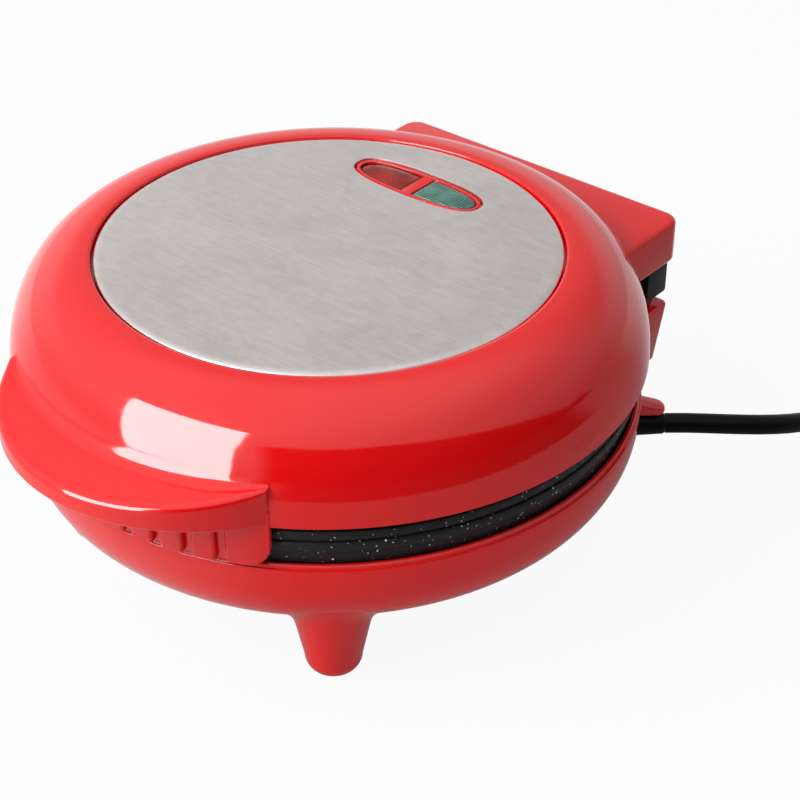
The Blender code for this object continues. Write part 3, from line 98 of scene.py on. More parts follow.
class CookerLidSizes(bpy.types.PropertyGroup):
    """Sizes of the lid's moulding."""

    edge_z: metres("Lower edge", 0.0760, "Height of the lid's lower edge above the floor")
    rise: metres("Rise", 0.0361, "Height of the dome from its lower edge to the disc")
    fullness: number("Fullness", 2.15, "How square the dome's section is; 2 is an ellipse", 1.5, 5)
    recess_r: metres("Recess radius", 0.0805, "Radius of the recess that holds the steel disc")
    lip: metres("Lip", 0.0010, "Width of the lip round the recess")
    wall: metres("Wall", 0.0024, "Thickness of the moulding")
    handle_half_w: metres("Handle half width", 0.0643, "Half the width of the handle in plan")
    handle_root: metres("Handle root", 0.0670, "Distance of the handle's widest line from the body's axis")
    handle_length: metres("Handle length", 0.0627, "From the handle's widest line to its tip")
    handle_fullness: number("Handle fullness", 2.0, "How square the handle's outline is", 1.2, 5)
    handle_top: metres("Handle top", 0.0176, "Top over the lid's lower edge, at the widest line")
    handle_droop: metres("Handle droop", 0.0081, "Fall of the handle's top from its widest line to its tip")
    handle_lip: metres("Handle underside", 0.0026, "How far the handle's lower edge rises towards its tip")
    handle_round: metres("Handle rounding", 0.0021, "Radius of the handle's upper edge")
    handle_end: metres("Handle end", 0.0012, "Radius of the corner at each end of the handle")
    handle_fillet: metres("Handle fillet", 0.0060, "Radius of the hollow curve between handle and dome")


class CookerGripSizes(bpy.types.PropertyGroup):
    """Sizes of the ribbed wall under the handle."""

    out_r: metres("Outer radius", 0.1112, "Radius of the ribs' faces")
    wall: metres("Wall", 0.0022, "Thickness of the wall with its ribs")
    half_angle: degrees("Half angle", 31.7, "Half the angle that the wall spans")
    low_z: metres("Low edge", 0.0604, "Height of the wall's lower edge")
    rib_count: bpy.props.IntProperty(name="Ribs", default=8, min=2, max=40, description="Number of ribs")
    rib_pitch: degrees("Rib pitch", 5.8, "Angle from rib to rib")
    rib_gap: metres("Gap", 0.0034, "Gap between two ribs")
    corner: metres("Corner", 0.0085, "Radius of the wall's lower corners")
    rib_proud: metres("Rib height", 0.0018, "How far the ribs stand out of the wall")


class CookerBaseSizes(bpy.types.PropertyGroup):
    """Sizes of the base's moulding."""

    rim_z: metres("Rim height", 0.0597, "Height of the base's rim above the floor")
    rim_r: metres("Rim radius", 0.1089, "Radius of the base just under its rim")
    depth: metres("Depth", 0.0412, "Depth of the bowl from its rim to its flat bottom")
    flat_r: metres("Flat radius", 0.0322, "Radius of the flat bottom")
    fullness: number("Fullness", 2.75, "How square the bowl's section is", 1.5, 5)
    lip_h: metres("Lip height", 0.0017, "Height of the stepped lip at the rim")
    lip_in: metres("Lip step", 0.0008, "How far the lip steps in")
    wall: metres("Wall", 0.0024, "Thickness of the moulding")
    leg_from_axis: metres("Leg distance", 0.0862, "Distance of each leg from the body's axis")
    leg_angle: degrees("Leg angle", 41.0, "Angle of each leg from the line between handle and hinge")
    leg_top_r: metres("Leg top radius", 0.0160, "Radius of a leg where its taper starts")
    leg_low_r: metres("Leg foot radius", 0.0098, "Radius of a leg above its rounded tip")
    leg_tip_r: metres("Leg tip radius", 0.0051, "Radius of a leg's flat end")
    leg_tip_z: metres("Leg tip", 0.0006, "Height of a leg's end over the floor")
    leg_round_h: metres("Leg rounding", 0.0060, "Height of the rounding at a leg's end")
    leg_blend: metres("Leg blend", 0.0055, "Width of the hollow curve where a leg meets the bowl")


class CookerHingeSizes(bpy.types.PropertyGroup):
    """Sizes of the hinge's housings."""

    box_half_w: metres("Box half width", 0.0637, "Half the width of the lid's hinge box")
    box_reach: metres("Box reach", 0.1232, "Distance of the hinge box's back from the body's axis")
    box_top: metres("Box top", 0.0170, "Top of the hinge box over the lid's lower edge")
    box_corner: metres("Box corners", 0.0065, "Radius of the hinge box's corners in plan")
    box_edge: metres("Box edges", 0.0019, "Rounding of the hinge box's edges")
    bracket_half_w: metres("Bracket half width", 0.0640, "Half the width of the base's bracket at its top")
    bracket_foot_w: metres("Bracket foot width", 0.0625, "Half the width of the bracket at its foot")
    bracket_reach: metres("Bracket reach", 0.1182, "Distance of the bracket's back from the body's axis")
    bracket_foot: metres("Bracket foot", 0.1142, "Distance of the bracket's lower back edge from the axis")
    bracket_drop: metres("Bracket top", 0.0168, "Top of the bracket under the lid's lower edge")
    bracket_low: metres("Bracket underside", 0.0405, "Underside of the bracket under the lid's lower edge")
    bracket_corner: metres("Bracket corners", 0.0030, "Radius of the bracket's corners in plan")
    knuckle_x: metres("Knuckle place", 0.0550, "Distance of each hinge knuckle from the middle")
    knuckle_w: metres("Knuckle width", 0.0140, "Width of a hinge block")
    knuckle_d: metres("Knuckle half depth", 0.0062, "Half the depth of a hinge block")
    knuckle_low: metres("Knuckle underside", 0.0045, "Underside of a hinge block below its pin")
    knuckle_skin: metres("Knuckle skin", 0.0011, "Wall that closes the pin's bore on the outside")
    ear_w: metres("Ear width", 0.0052, "Width of the base's ear in the block")
    ear_r: metres("Ear radius", 0.0048, "Radius of the ear round the pin")
    web_rise: metres("Web", 0.0063, "Height of the block's slot over the pin")
    block_top: metres("Block top", 0.0847, "Height of the block's upper end")


class CookerWindowSizes(bpy.types.PropertyGroup):
    """Sizes of the indicator window."""

    x: metres("Place", -0.0043, "Middle of the window, right of the lid's middle line", -0.1, 0.1)
    from_axis: metres("Distance", 0.0525, "Distance of the window from the body's axis")
    half_l: metres("Half length", 0.0268, "Half the window's length")
    half_w: metres("Half width", 0.0082, "Half the window's width")
    fullness: number("Fullness", 2.6, "How square the window's outline is", 1.5, 6)
    sink: metres("Sink", 0.0003, "How far the frame lies under the disc's face")
    frame_w: metres("Frame", 0.0013, "Width of the red frame")
    web_w: metres("Web", 0.0043, "Width of the web between the lenses")
    depth: metres("Depth", 0.0055, "Depth of the frame's sleeve")
    lens_sink: metres("Lens sink", 0.0003, "How far the lenses lie under the frame's face")
    rib_pitch: metres("Rib pitch", 0.00125, "Distance between the fine ribs of the green lens")


class CookerPlateSizes(bpy.types.PropertyGroup):
    """Sizes of the cast plates."""

    rim_r: metres("Lower rim radius", 0.1071, "Radius of the lower plate's flange")
    upper_r: metres("Upper rim radius", 0.1066, "Radius of the upper plate's flange")
    flange_t: metres("Flange", 0.0036, "Thickness of a flange")
    skirt_r: metres("Skirt radius", 0.1057, "Radius of the skirt behind a flange")
    skirt_h: metres("Skirt", 0.0092, "Height of a plate's rim with its skirt")
    pan_r: metres("Pan radius", 0.0920, "Radius of the half-moon pans")
    pan_split: metres("Split", 0.0120, "Width of the wall between the two pans")
    pan_depth: metres("Pan depth", 0.0085, "Depth of a pan")
    pan_wall: metres("Pan wall", 0.0030, "Thickness of a pan")
    pan_corner: metres("Pan corner", 0.0130, "Radius of a pan's corners")
    pan_draft: metres("Draft", 0.0022, "How far a pan's wall draws in")


class CookerCordSizes(bpy.types.PropertyGroup):
    """Sizes of the mains cord."""

    diameter: metres("Diameter", 0.0072, "Thickness of the cord")
    coil_r: metres("Coil radius", 0.0445, "Radius of the coil's outer turn")
    relief_rings: bpy.props.IntProperty(
        name="Relief rings", default=0, min=0, max=20, description="Number of grooves in the strain relief"
    )


class CookerFinishes(bpy.types.PropertyGroup):
    """Colours of the finishes."""

    red: colour("Red shell", (0.76, 0.003, 0.004), "Glossy red of the mouldings")
    steel: colour("Steel disc", (0.91, 0.85, 0.83), "Brushed steel of the disc")
    coating: colour("Coating", (0.009, 0.009, 0.011), "Dark coating of the plates")
    fleck: colour("Flecks", (0.75, 0.74, 0.76), "Pale flecks in the coating")
    black: colour("Black plastic", (0.010, 0.010, 0.011), "Hinge blocks and inner plastic")
    rubber: colour("Cord and feet", (0.001, 0.001, 0.001), "Black of the cord, plug and feet")
    red_lens: colour("Red lens", (0.30, 0.014, 0.008), "Clear red of one lens")
    green_lens: colour("Green lens", (0.11, 0.235, 0.20), "Clear green of the other lens")


class CookerStageSizes(bpy.types.PropertyGroup):
    """Camera and light."""

    azimuth: degrees("Azimuth", 39.7, "Direction of the camera round the object")
    elevation: degrees("Elevation", 34.25, "Height of the camera as an angle")
    lens: number("Lens", 90.0, "Focal length in millimetres on a 36 mm sensor", 10, 300)
    camera: bpy.props.FloatVectorProperty(
        name="Camera",
        default=(0.39505, -0.43474, 0.44980),
        subtype="TRANSLATION",
        description="Camera's place",
    )
    world: number("World", 1.0, "Strength of the light from all around", 0, 5)


SETTINGS = {
    "cooker_lid": CookerLidSizes,
    "cooker_grip": CookerGripSizes,
    "cooker_base": CookerBaseSizes,
    "cooker_hinge": CookerHingeSizes,
    "cooker_window": CookerWindowSizes,
    "cooker_plate": CookerPlateSizes,
    "cooker_cord": CookerCordSizes,
    "cooker_finish": CookerFinishes,
    "cooker_stage": CookerStageSizes,
}


# ---- materials ----------------------------------------------------------------------------------


class Wire:
    """A socket in a node tree that Python's operators work on."""

    def __init__(self, nodes, socket):
        self.nodes = nodes
        self.socket = socket

    def maths(self, operation, *values):
        return self.nodes.node("ShaderNodeMath", {"operation": operation}, dict(enumerate(values)))

    def __add__(self, other):
        return self.maths("ADD", self, other)

    __radd__ = __add__

    def __sub__(self, other):
        return self.maths("SUBTRACT", self, other)

    def __rsub__(self, other):
        return self.maths("SUBTRACT", other, self)

    def __mul__(self, other):
        return self.maths("MULTIPLY", self, other)

    def __truediv__(self, other):
        return self.maths("DIVIDE", self, other)

    def __gt__(self, other):
        return self.maths("GREATER_THAN", self, other)

    def floor_at(self, other):
        return self.maths("MAXIMUM", self, other)

    def cap_at(self, other):
        return self.maths("MINIMUM", self, other)

    def ramp(self, low, high):
        """0 below low, 1 above high, smooth between."""
        settings = {"interpolation_type": "SMOOTHSTEP"}
        return self.nodes.node("ShaderNodeMapRange", settings, {0: self, 1: low, 2: high, 3: 0.0, 4: 1.0})


class Nodes:
    """A node tree under construction."""

    def __init__(self, tree):
        self.tree = tree

    def link(self, value, socket):
        """Joins a wire to the socket, or gives the socket this value; a colour gets its alpha."""
        if isinstance(value, Wire):
            self.tree.links.new(value.socket, socket)
        elif hasattr(value, "__len__") and len(value) == 3 and len(socket.default_value) == 4:
            socket.default_value = (*value, 1)
        else:
            socket.default_value = value

    def node(self, kind, settings=None, values=None, output=0):
        """A node of this type with its settings, its sockets' values or links, and the output wanted."""
        made = self.tree.nodes.new(kind)
        for key, value in (settings or {}).items():
            setattr(made, key, value)
        for key, value in (values or {}).items():
            self.link(value, made.inputs[key])
        return Wire(self, made.outputs[output])

    def mix(self, share, first, second):
        return self.node("ShaderNodeMix", {"data_type": "RGBA"}, {0: share, 6: first, 7: second}, 2)

    def along(self, vector, way):
        """The vector's length along this way."""
        return self.node("ShaderNodeVectorMath", {"operation": "DOT_PRODUCT"}, {0: vector, 1: way}, 1)

    def ray(self, kind):
        """1 for rays of this kind."""
        return self.node("ShaderNodeLightPath", output=f"Is {kind} Ray")


class Paint(Nodes):
    """One material and its nodes."""

    def __init__(self, name, **surface):
        self.material = bpy.data.materials.new(name)
        self.material.use_nodes = True
        super().__init__(self.material.node_tree)
        self.shader = self.tree.nodes["Principled BSDF"]
        for socket, value in surface.items():
            self.set(socket.replace("_", " "), value)

    def set(self, socket, value):
        self.link(value, self.shader.inputs[socket])

    def place(self):
        return self.node("ShaderNodeTexCoord", output=3)

    def stretched(self, scale, turn=(0, 0, 0)):
        """Object coordinates, turned and stretched."""
        values = {"Vector": self.place(), "Scale": scale, "Rotation": turn}
        return self.node("ShaderNodeMapping", values=values)

    def noise(self, scale, detail=3.0, rough=0.5, vector=None):
        values = {"Vector": vector or self.place(), "Scale": scale, "Detail": detail, "Roughness": rough}
        return self.node("ShaderNodeTexNoise", values=values)

    def cells(self, scale):
        return self.node("ShaderNodeTexVoronoi", values={"Vector": self.place(), "Scale": scale})

    def bump(self, height, distance, strength):
        values = {"Height": height, "Distance": distance, "Strength": strength}
        return self.node("ShaderNodeBump", values=values)


def scaled(tint, share):
    """The tint made brighter or darker."""
    return tuple(min(1.0, channel * share) for channel in tint)


def moulded_red():
    """Polished injection-moulded plastic: faint flow shade, fine peel and a few hairlines."""
    red = bpy.context.scene.cooker_finish.red
    paint = Paint("moulded_red", IOR=1.78, Metallic=0.0)
    flow = paint.noise(9.0, 2.0)
    paint.set("Base Color", paint.mix(flow.ramp(0.3, 0.7), scaled(red, 0.96), scaled(red, 1.03)))
    smudge = paint.noise(38.0, 4.0, 0.6).ramp(0.42, 0.75)
    hair = paint.noise(60.0, 2.0, 0.5, paint.stretched((1.0, 14.0, 3.0), (0.3, 0.2, 0.7))).ramp(0.66, 0.70)
    paint.set("Roughness", 0.065 + smudge * 0.030 + hair * 0.04)
    peel = paint.noise(170.0, 1.0)
    paint.set("Normal", paint.bump(peel, 0.00005, 0.45))
    return paint.material


def brushed_disc():
    """Brushed sheet steel: fine short lines one way, a faint mottle and a few soft smudges."""
    steel = bpy.context.scene.cooker_finish.steel
    paint = Paint("brushed_disc", Metallic=1.0)
    turn = (0, 0, math.radians(8.0))
    lines = paint.noise(1.0, 4.0, 0.7, paint.stretched((70.0, 2600.0, 20.0), turn))
    coarse = paint.noise(1.0, 3.0, 0.6, paint.stretched((40.0, 900.0, 20.0), turn))
    cloud = paint.noise(26.0, 5.0, 0.62).ramp(0.30, 0.72)
    mottle = paint.noise(210.0, 4.0, 0.66, paint.stretched((1.0, 2.2, 1.0), turn))
    grain = lines * 0.40 + coarse * 0.22 + mottle * 0.38
    tone = (grain.ramp(0.28, 0.72) * 0.75 + cloud * 0.25).ramp(0.0, 1.0)
    paint.set("Base Color", paint.mix(tone, scaled(steel, 0.90), scaled(steel, 1.07)))
    paint.set("Roughness", 0.34 + cloud * 0.05 + mottle * 0.08)
    paint.set("Normal", paint.bump(grain, 0.00008, 0.30))
    return paint.material


def speckled_coating():
    """Non-stick coating on cast metal: near black with scattered pale flecks."""
    coating = bpy.context.scene.cooker_finish.coating
    pale = bpy.context.scene.cooker_finish.fleck
    paint = Paint("speckled_coating", Metallic=0.0, IOR=1.5)
    wobble = paint.noise(700.0, 2.0)
    small = paint.cells(620.0)
    large = paint.cells(290.0)
    thin = paint.noise(260.0, 2.0)
    dots = (1 - (small + wobble * 0.10).ramp(0.17, 0.23)) * (thin > 0.50)
    blots = (1 - (large + wobble * 0.16).ramp(0.16, 0.21)) * (paint.noise(90.0, 2.0) > 0.53)
    fleck = (dots * 0.75 + blots).cap_at(1.0)
    base = paint.mix(paint.noise(120.0, 3.0), scaled(coating, 0.75), scaled(coating, 1.5))
    paint.set("Base Color", paint.mix(fleck, base, pale))
    paint.set("Roughness", 0.34 + paint.noise(200.0, 3.0) * 0.14)
    paint.set("Normal", paint.bump(paint.noise(900.0, 3.0), 0.00012, 0.6))
    return paint.material


def cord_rubber():
    """Soft black PVC: a satin skin with faint ripples and dust."""
    rubber = bpy.context.scene.cooker_finish.rubber
    paint = Paint("cord_rubber", Metallic=0.0, Specular_IOR_Level=0.18)
    dust = paint.noise(420.0, 4.0, 0.7).ramp(0.58, 0.80)
    paint.set("Base Color", paint.mix(dust * 0.5, rubber, scaled(rubber, 3.5)))
    paint.set("Roughness", 0.36 + paint.noise(45.0, 3.0) * 0.12 + dust * 0.1)
    paint.set("Normal", paint.bump(paint.noise(1300.0, 2.0), 0.00008, 0.5))
    return paint.material


def heater_steel():
    """Heat-tinted sheath of the elements."""
    paint = Paint("heater_steel", Metallic=1.0)
    tint = paint.noise(14.0, 3.0).ramp(0.3, 0.7)
    paint.set("Base Color", paint.mix(tint, (0.20, 0.15, 0.11), (0.30, 0.29, 0.30)))
    paint.set("Roughness", 0.42 + paint.noise(300.0, 3.0) * 0.15)
    paint.set("Normal", paint.bump(paint.noise(1500.0, 2.0), 0.00006, 0.5))
    return paint.material


def bright_sheet():
    """Rolled bright sheet of the reflectors, its lines all one way."""
    paint = Paint("bright_sheet", Metallic=1.0)
    roll = paint.noise(1.0, 3.0, 0.6, paint.stretched((900.0, 12.0, 12.0)))
    paint.set("Base Color", paint.mix(roll, (0.66, 0.66, 0.68), (0.84, 0.84, 0.86)))
    paint.set("Roughness", 0.20 + roll * 0.16)
    paint.set("Normal", paint.bump(roll, 0.00004, 0.4))
    return paint.material


def clear_lens(name, tint, deep):
    """Clear coloured plastic with painted shade: darker in random patches, as of the hollow under it."""
    paint = Paint(name, Metallic=0.0, IOR=1.49)
    # Painted shade: the tint darkens in random patches, standing in for the shade of the hollow under the
    # lens.
    depth = paint.noise(130.0, 3.0).ramp(0.3, 0.7)
    paint.set("Base Color", paint.mix(depth, scaled(tint, deep), scaled(tint, 1.12)))
    paint.set("Roughness", 0.07 + depth * 0.06)
    paint.set("Normal", paint.bump(paint.noise(420.0, 2.0), 0.00008, 0.4))
    return paint.material


# Each lens's last number is how far its painted shade darkens the tint.
def red_lens():
    return clear_lens("red_lens", bpy.context.scene.cooker_finish.red_lens, 0.55)


def green_lens():
    return clear_lens("green_lens", bpy.context.scene.cooker_finish.green_lens, 0.70)


def plain_finish(name, tints, tint_noise, rough, rough_noise, grain=None, **surface):
    """A finish whose tint, gloss and fine grain each follow a noise, given as its scale and detail."""
    paint = Paint(name, **surface)
    paint.set("Base Color", paint.mix(paint.noise(*tint_noise), *tints))
    least, spread = rough
    paint.set("Roughness", least + paint.noise(*rough_noise) * spread)
    if grain:
        scale, detail, height, strength = grain
        paint.set("Normal", paint.bump(paint.noise(scale, detail), height, strength))
    return paint.material


def black_moulding():
    """Matt black moulded plastic of the hinge blocks and small inner pieces."""
    black = bpy.context.scene.cooker_finish.black
    tints, grain = (scaled(black, 0.8), scaled(black, 1.6)), (2200, 2, 0.00008, 0.5)
    return plain_finish(
        "black_moulding", tints, (150, 3), (0.36, 0.14), (60, 3), grain, Metallic=0.0, Specular_IOR_Level=0.35
    )


def foot_rubber():
    """Dull rubber of the foot pads."""
    rubber = bpy.context.scene.cooker_finish.rubber
    tints, grain = (rubber, scaled(rubber, 3.0)), (1500, 3, 0.00015, 0.7)
    return plain_finish("foot_rubber", tints, (300, 4), (0.68, 0.15), (120, 3), grain, Metallic=0.0)


def plain_steel():
    """Machined steel of the screws and pins."""
    tints, grain = ((0.42, 0.42, 0.44), (0.62, 0.62, 0.64)), (1800, 3, 0.00005, 0.5)
    return plain_finish("plain_steel", tints, (200, 4), (0.26, 0.16), (500, 3), grain, Metallic=1.0)


def brass_pin():
    """Drawn brass of the plug's pins."""
    tints = ((0.52, 0.36, 0.12), (0.74, 0.56, 0.24))
    return plain_finish("brass_pin", tints, (160, 3), (0.22, 0.14), (400, 3), Metallic=1.0)


def fired_ceramic():
    """Cream ceramic of the terminal block and the thermostat."""
    tints, grain = ((0.66, 0.61, 0.52), (0.78, 0.74, 0.66)), (900, 3, 0.0001, 0.5)
    return plain_finish("fired_ceramic", tints, (220, 4), (0.52, 0.12), (180, 3), grain, Metallic=0.0)


def lamp_glass():
    """Thin warm glass of the indicator lamps."""
    tints = ((0.72, 0.60, 0.48), (0.86, 0.78, 0.70))
    return plain_finish(
        "lamp_glass", tints, (300, 3), (0.06, 0.05), (120, 3), Metallic=0.0, IOR=1.45, Transmission_Weight=0.6
    )


MAKERS = {
    maker.__name__: maker
    for maker in (
        moulded_red,
        brushed_disc,
        speckled_coating,
        black_moulding,
        cord_rubber,
        foot_rubber,
        plain_steel,
        heater_steel,
        bright_sheet,
        brass_pin,
        fired_ceramic,
        lamp_glass,
        red_lens,
        green_lens,
    )
}
FINISHES = {}


def finish(name):
    """A finish by name, made once."""
    if name not in FINISHES:
        FINISHES[name] = MAKERS[name]()
    return FINISHES[name]


# ---- mesh helpers -------------------------------------------------------------------------------


# How far a cutter reaches past what it cuts.
THROUGH = 0.003


def object_of(name, mesh):
    """A new object in the scene with this mesh, curve, lamp or camera."""
    obj = bpy.data.objects.new(name, mesh)
    bpy.context.collection.objects.link(obj)
    return obj


def mesh_of(name, bm):
    """The finished mesh: doubles merged and faces turned outwards."""
    bmesh.ops.remove_doubles(bm, verts=bm.verts[:], dist=1e-6)
    bmesh.ops.recalc_face_normals(bm, faces=bm.faces[:])
    mesh = bpy.data.meshes.new(name)
    bm.to_mesh(mesh)
    bm.free()
    return mesh


def grid(name, rows, closed_rows=True, closed_columns=False):
    """A skin through rows of points; its last row or column may join its first."""
    rows = np.asarray(rows, float)
    height, width = rows.shape[:2]
    bm = bmesh.new()
    verts = [[bm.verts.new(p) for p in row] for row in rows]
    for i in range(height if closed_rows else height - 1):
        for j in range(width if closed_columns else width - 1):
            a, b = (i + 1) % height, (j + 1) % width
            bm.faces.new((verts[i][j], verts[a][j], verts[a][b], verts[i][b]))
    return mesh_of(name, bm)


def revolved(name, profile, steps, at=MIDDLE):
    """The profile of (radius, height) points, which starts and ends on the upright axis, turned about it."""
    rows = []
    for a in np.linspace(0, 2 * math.pi, steps, endpoint=False):
        rows.append([(at[0] + r * math.cos(a), at[1] + r * math.sin(a), at[2] + z) for r, z in profile])
    return grid(name, rows)


def lofted(name, rings):
    """The solid through these rings of points, closed at both ends."""
    bm = bmesh.new()
    rings = [[bm.verts.new(point) for point in ring] for ring in rings]
    bm.faces.new(rings[0])
    bm.faces.new(rings[-1])
    for lower, upper in zip(rings, rings[1:]):
        for i in range(len(lower)):
            k = (i + 1) % len(lower)
            bm.faces.new((lower[i], lower[k], upper[k], upper[i]))
    return mesh_of(name, bm)


def prism(name, outline, low, high, drawn=None):
    """The outline raised from low to high, where it may be drawn to another outline."""
    return lofted(name, [[(x, y, low) for x, y in outline], [(x, y, high) for x, y in (drawn or outline)]])


def across_prism(name, profile, centre_x, width):
    """The closed profile of (y, z) points as a slab across X."""
    mesh = prism(name, profile, -width / 2, width / 2)
    mesh.transform(Matrix(((0, 0, 1, centre_x), (1, 0, 0, 0), (0, 1, 0, 0), (0, 0, 0, 1))))
    return mesh


def cylinder(name, radius, start, end, steps=32):
    """A round bar from start to end."""
    start, end = Vector(start), Vector(end)
    bm = bmesh.new()
    bmesh.ops.create_cone(
        bm, cap_ends=True, segments=steps, radius1=radius, radius2=radius, depth=(end - start).length
    )
    turn = (end - start).to_track_quat("Z", "Y").to_matrix().to_4x4()
    bmesh.ops.transform(bm, verts=bm.verts[:], matrix=Matrix.Translation((start + end) / 2) @ turn)
    return mesh_of(name, bm)


def drum(name, radius, low, high, steps):
    """A round bar about the body's axis."""
    return cylinder(name, radius, (0, MIDDLE_Y, low), (0, MIDDLE_Y, high), steps)


def block(name, size, centre, turn=0.0):
    """A box, turned about the upright axis."""
    bm = bmesh.new()
    bmesh.ops.create_cube(bm, size=1)
    bmesh.ops.scale(bm, verts=bm.verts[:], vec=size)
    matrix = Matrix.Translation(centre) @ Matrix.Rotation(turn, 4, "Z")
    bmesh.ops.transform(bm, verts=bm.verts[:], matrix=matrix)
    return mesh_of(name, bm)


def carved(mesh, adds=(), cuts=()):
    """The mesh joined with some meshes and cut by others."""
    body = object_of("carving", mesh)
    helpers = []
    for operation, tools in (("UNION", adds), ("DIFFERENCE", cuts)):
        for tool in tools:
            helper = object_of("carver", tool)
            helpers.append(helper)
            step = body.modifiers.new("carve", "BOOLEAN")
            step.operation = operation
            step.object = helper
            step.solver = "EXACT"
    return baked(body, helpers)


def baked(obj, helpers=()):
    """The object's mesh with its modifiers applied; the object and its helpers go."""
    name = obj.data.name
    graph = bpy.context.evaluated_depsgraph_get()
    graph.update()
    mesh = bpy.data.meshes.new_from_object(obj.evaluated_get(graph))
    for other in (obj, *helpers):
        bpy.data.objects.remove(other, do_unlink=True)
    mesh.name = name
    return mesh


def softened(mesh, width, segments, sharp):
    """The mesh with its edges rounded where the faces meet at more than this many degrees."""
    obj = object_of("softening", mesh)
    step = obj.modifiers.new("edge", "BEVEL")
    step.width = width
    step.segments = segments
    step.limit_method = "ANGLE"
    step.angle_limit = math.radians(sharp)
    return baked(obj)


def thickened(mesh, wall):
    """The open skin with its wall's thickness inwards."""
    obj = object_of("thickening", mesh)
    step = obj.modifiers.new("wall", "SOLIDIFY")
    step.thickness = wall
    step.offset = -1
    step.use_even_offset = True
    return baked(obj)


def piece(name, mesh, body, look, nodes=(), angle=38.0):
    """A finished piece: smooth, painted, riding on its body and standing for its nodes."""
    mesh.shade_smooth()
    mesh.set_sharp_from_angle(angle=math.radians(angle))
    obj = object_of(name, mesh)
    mesh.materials.clear()
    mesh.materials.append(finish(look))
    if nodes:
        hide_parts(*nodes)
    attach(obj, body)
    return obj


def red_piece(name, mesh, body, nodes=(), angle=38.0):
    """A finished piece of the glossy red mouldings."""
    return piece(name, mesh, body, "moulded_red", nodes, angle)


def superellipse(outer, inner, low, high, fullness, steps):
    """Points of a quarter superellipse from (outer, low) to (inner, high)."""
    points = []
    for t in np.linspace(0, math.pi / 2, steps + 1):
        across = max(0.0, math.cos(t)) ** (2 / fullness)
        up = max(0.0, math.sin(t)) ** (2 / fullness)
        points.append((inner + (outer - inner) * across, low + (high - low) * up))
    points[-1] = (inner, high)
    return points


def oval(half_x, half_y, steps, centre=(0, 0), start=0.0, span=2 * math.pi, fullness=2.0):
    """Points of a superellipse round its centre, all of it or a stretch of it."""
    whole = span > 2 * math.pi - math.radians(1)
    points = []
    for i in range(steps if whole else steps + 1):
        angle = start + span * i / steps
        ways = (math.cos(angle), math.sin(angle))
        across, up = (math.copysign(abs(way) ** (2 / fullness), way) for way in ways)
        points.append((centre[0] + half_x * across, centre[1] + half_y * up))
    return points


def held(value):
    """The value, kept between 0 and 1."""
    return min(1.0, max(0.0, value))


def eased(share):
    """The share from 0 to 1 with a gentle start and end."""
    return share * share * (3 - 2 * share)


def swell(radius, inner, outer, fullness):
    """Height of a superellipse of height 1 at this radius: 1 up to its inner radius, 0 at its outer one."""
    return (1 - held((radius - inner) / (outer - inner)) ** fullness) ** (1 / fullness)


def rounded(corners, radii, steps):
    """The polygon with each corner rounded by its own radius."""
    points = []
    for i, corner in enumerate(corners):
        here = Vector(corner)
        if radii[i] <= 0:
            points.append(tuple(here))
            continue
        back = (Vector(corners[i - 1]) - here).normalized()
        ahead = (Vector(corners[(i + 1) % len(corners)]) - here).normalized()
        half = back.angle(ahead) / 2
        centre = here + (back + ahead).normalized() * radii[i] / math.sin(half)
        first = here + back * radii[i] / math.tan(half) - centre
        last = here + ahead * radii[i] / math.tan(half) - centre
        turn = first.angle_signed(last)
        for k in range(steps + 1):
            points.append(tuple(centre + Matrix.Rotation(-turn * k / steps, 2) @ first))
    return points


def evenly(points, count):
    """The polyline's points spaced evenly along it."""
    points = np.asarray(points, float)
    runs = np.concatenate([[0], np.cumsum(np.linalg.norm(np.diff(points, axis=0), axis=1))])
    places = np.linspace(0, runs[-1], count)
    return np.stack([np.interp(places, runs, points[:, k]) for k in range(points.shape[1])], axis=1)


def relaxed(points, softness):
    """The evenly spaced polyline with its corners rounded over this length."""
    step = np.linalg.norm(points[1] - points[0])
    reach = max(1, int(3 * softness / step))
    weights = np.exp(-0.5 * (np.arange(-reach, reach + 1) * step / softness) ** 2)
    weights /= weights.sum()
    first = 2 * points[0] - points[reach:0:-1]
    last = 2 * points[-1] - points[-2 : -reach - 2 : -1]
    padded = np.vstack([first, points, last])
    return np.stack([np.convolve(padded[:, k], weights, "valid") for k in range(points.shape[1])], axis=1)


def around(radius, angle):
    """The point at this radius and angle round the body's axis."""
    return Vector((radius * math.cos(angle), MIDDLE_Y + radius * math.sin(angle), 0))


def from_front(radius, angle, z):
    """The point at this radius and height, its angle counted from the handle's side."""
    return (radius * math.sin(angle), MIDDLE_Y - radius * math.cos(angle), z)


# ---- Geometry Nodes -----------------------------------------------------------------------------


class Tree(Nodes):
    """A Geometry Nodes tree under construction, with named inputs."""

    def __init__(self, name, inputs):
        super().__init__(bpy.data.node_groups.new(name, "GeometryNodeTree"))
        interface = self.tree.interface
        interface.new_socket("Geometry", in_out="OUTPUT", socket_type="NodeSocketGeometry")
        kinds = {float: "NodeSocketFloat", int: "NodeSocketInt"}
        self.values = inputs
        for label, value in inputs.items():
            made = interface.new_socket(label, in_out="INPUT", socket_type=kinds[type(value)])
            made.default_value = value
        self.entry = self.tree.nodes.new("NodeGroupInput")
        self.exit = self.tree.nodes.new("NodeGroupOutput")

    def input(self, label):
        return Wire(self, self.entry.outputs[label])

    def finish(self, geometry, material):
        solid = self.node("GeometryNodeRealizeInstances", values={0: geometry})
        painted = self.node("GeometryNodeSetMaterial", values={"Geometry": solid, "Material": material})
        self.link(painted, self.exit.inputs[0])

    def mesh(self, name):
        """The plain mesh that the tree makes."""
        carrier = object_of(name, bpy.data.meshes.new(name))
        step = carrier.modifiers.new("nodes", "NODES")
        step.node_group = self.tree
        for item in self.tree.interface.items_tree:
            if item.in_out == "INPUT":
                step[item.identifier] = self.values[item.name]
        return baked(carrier)


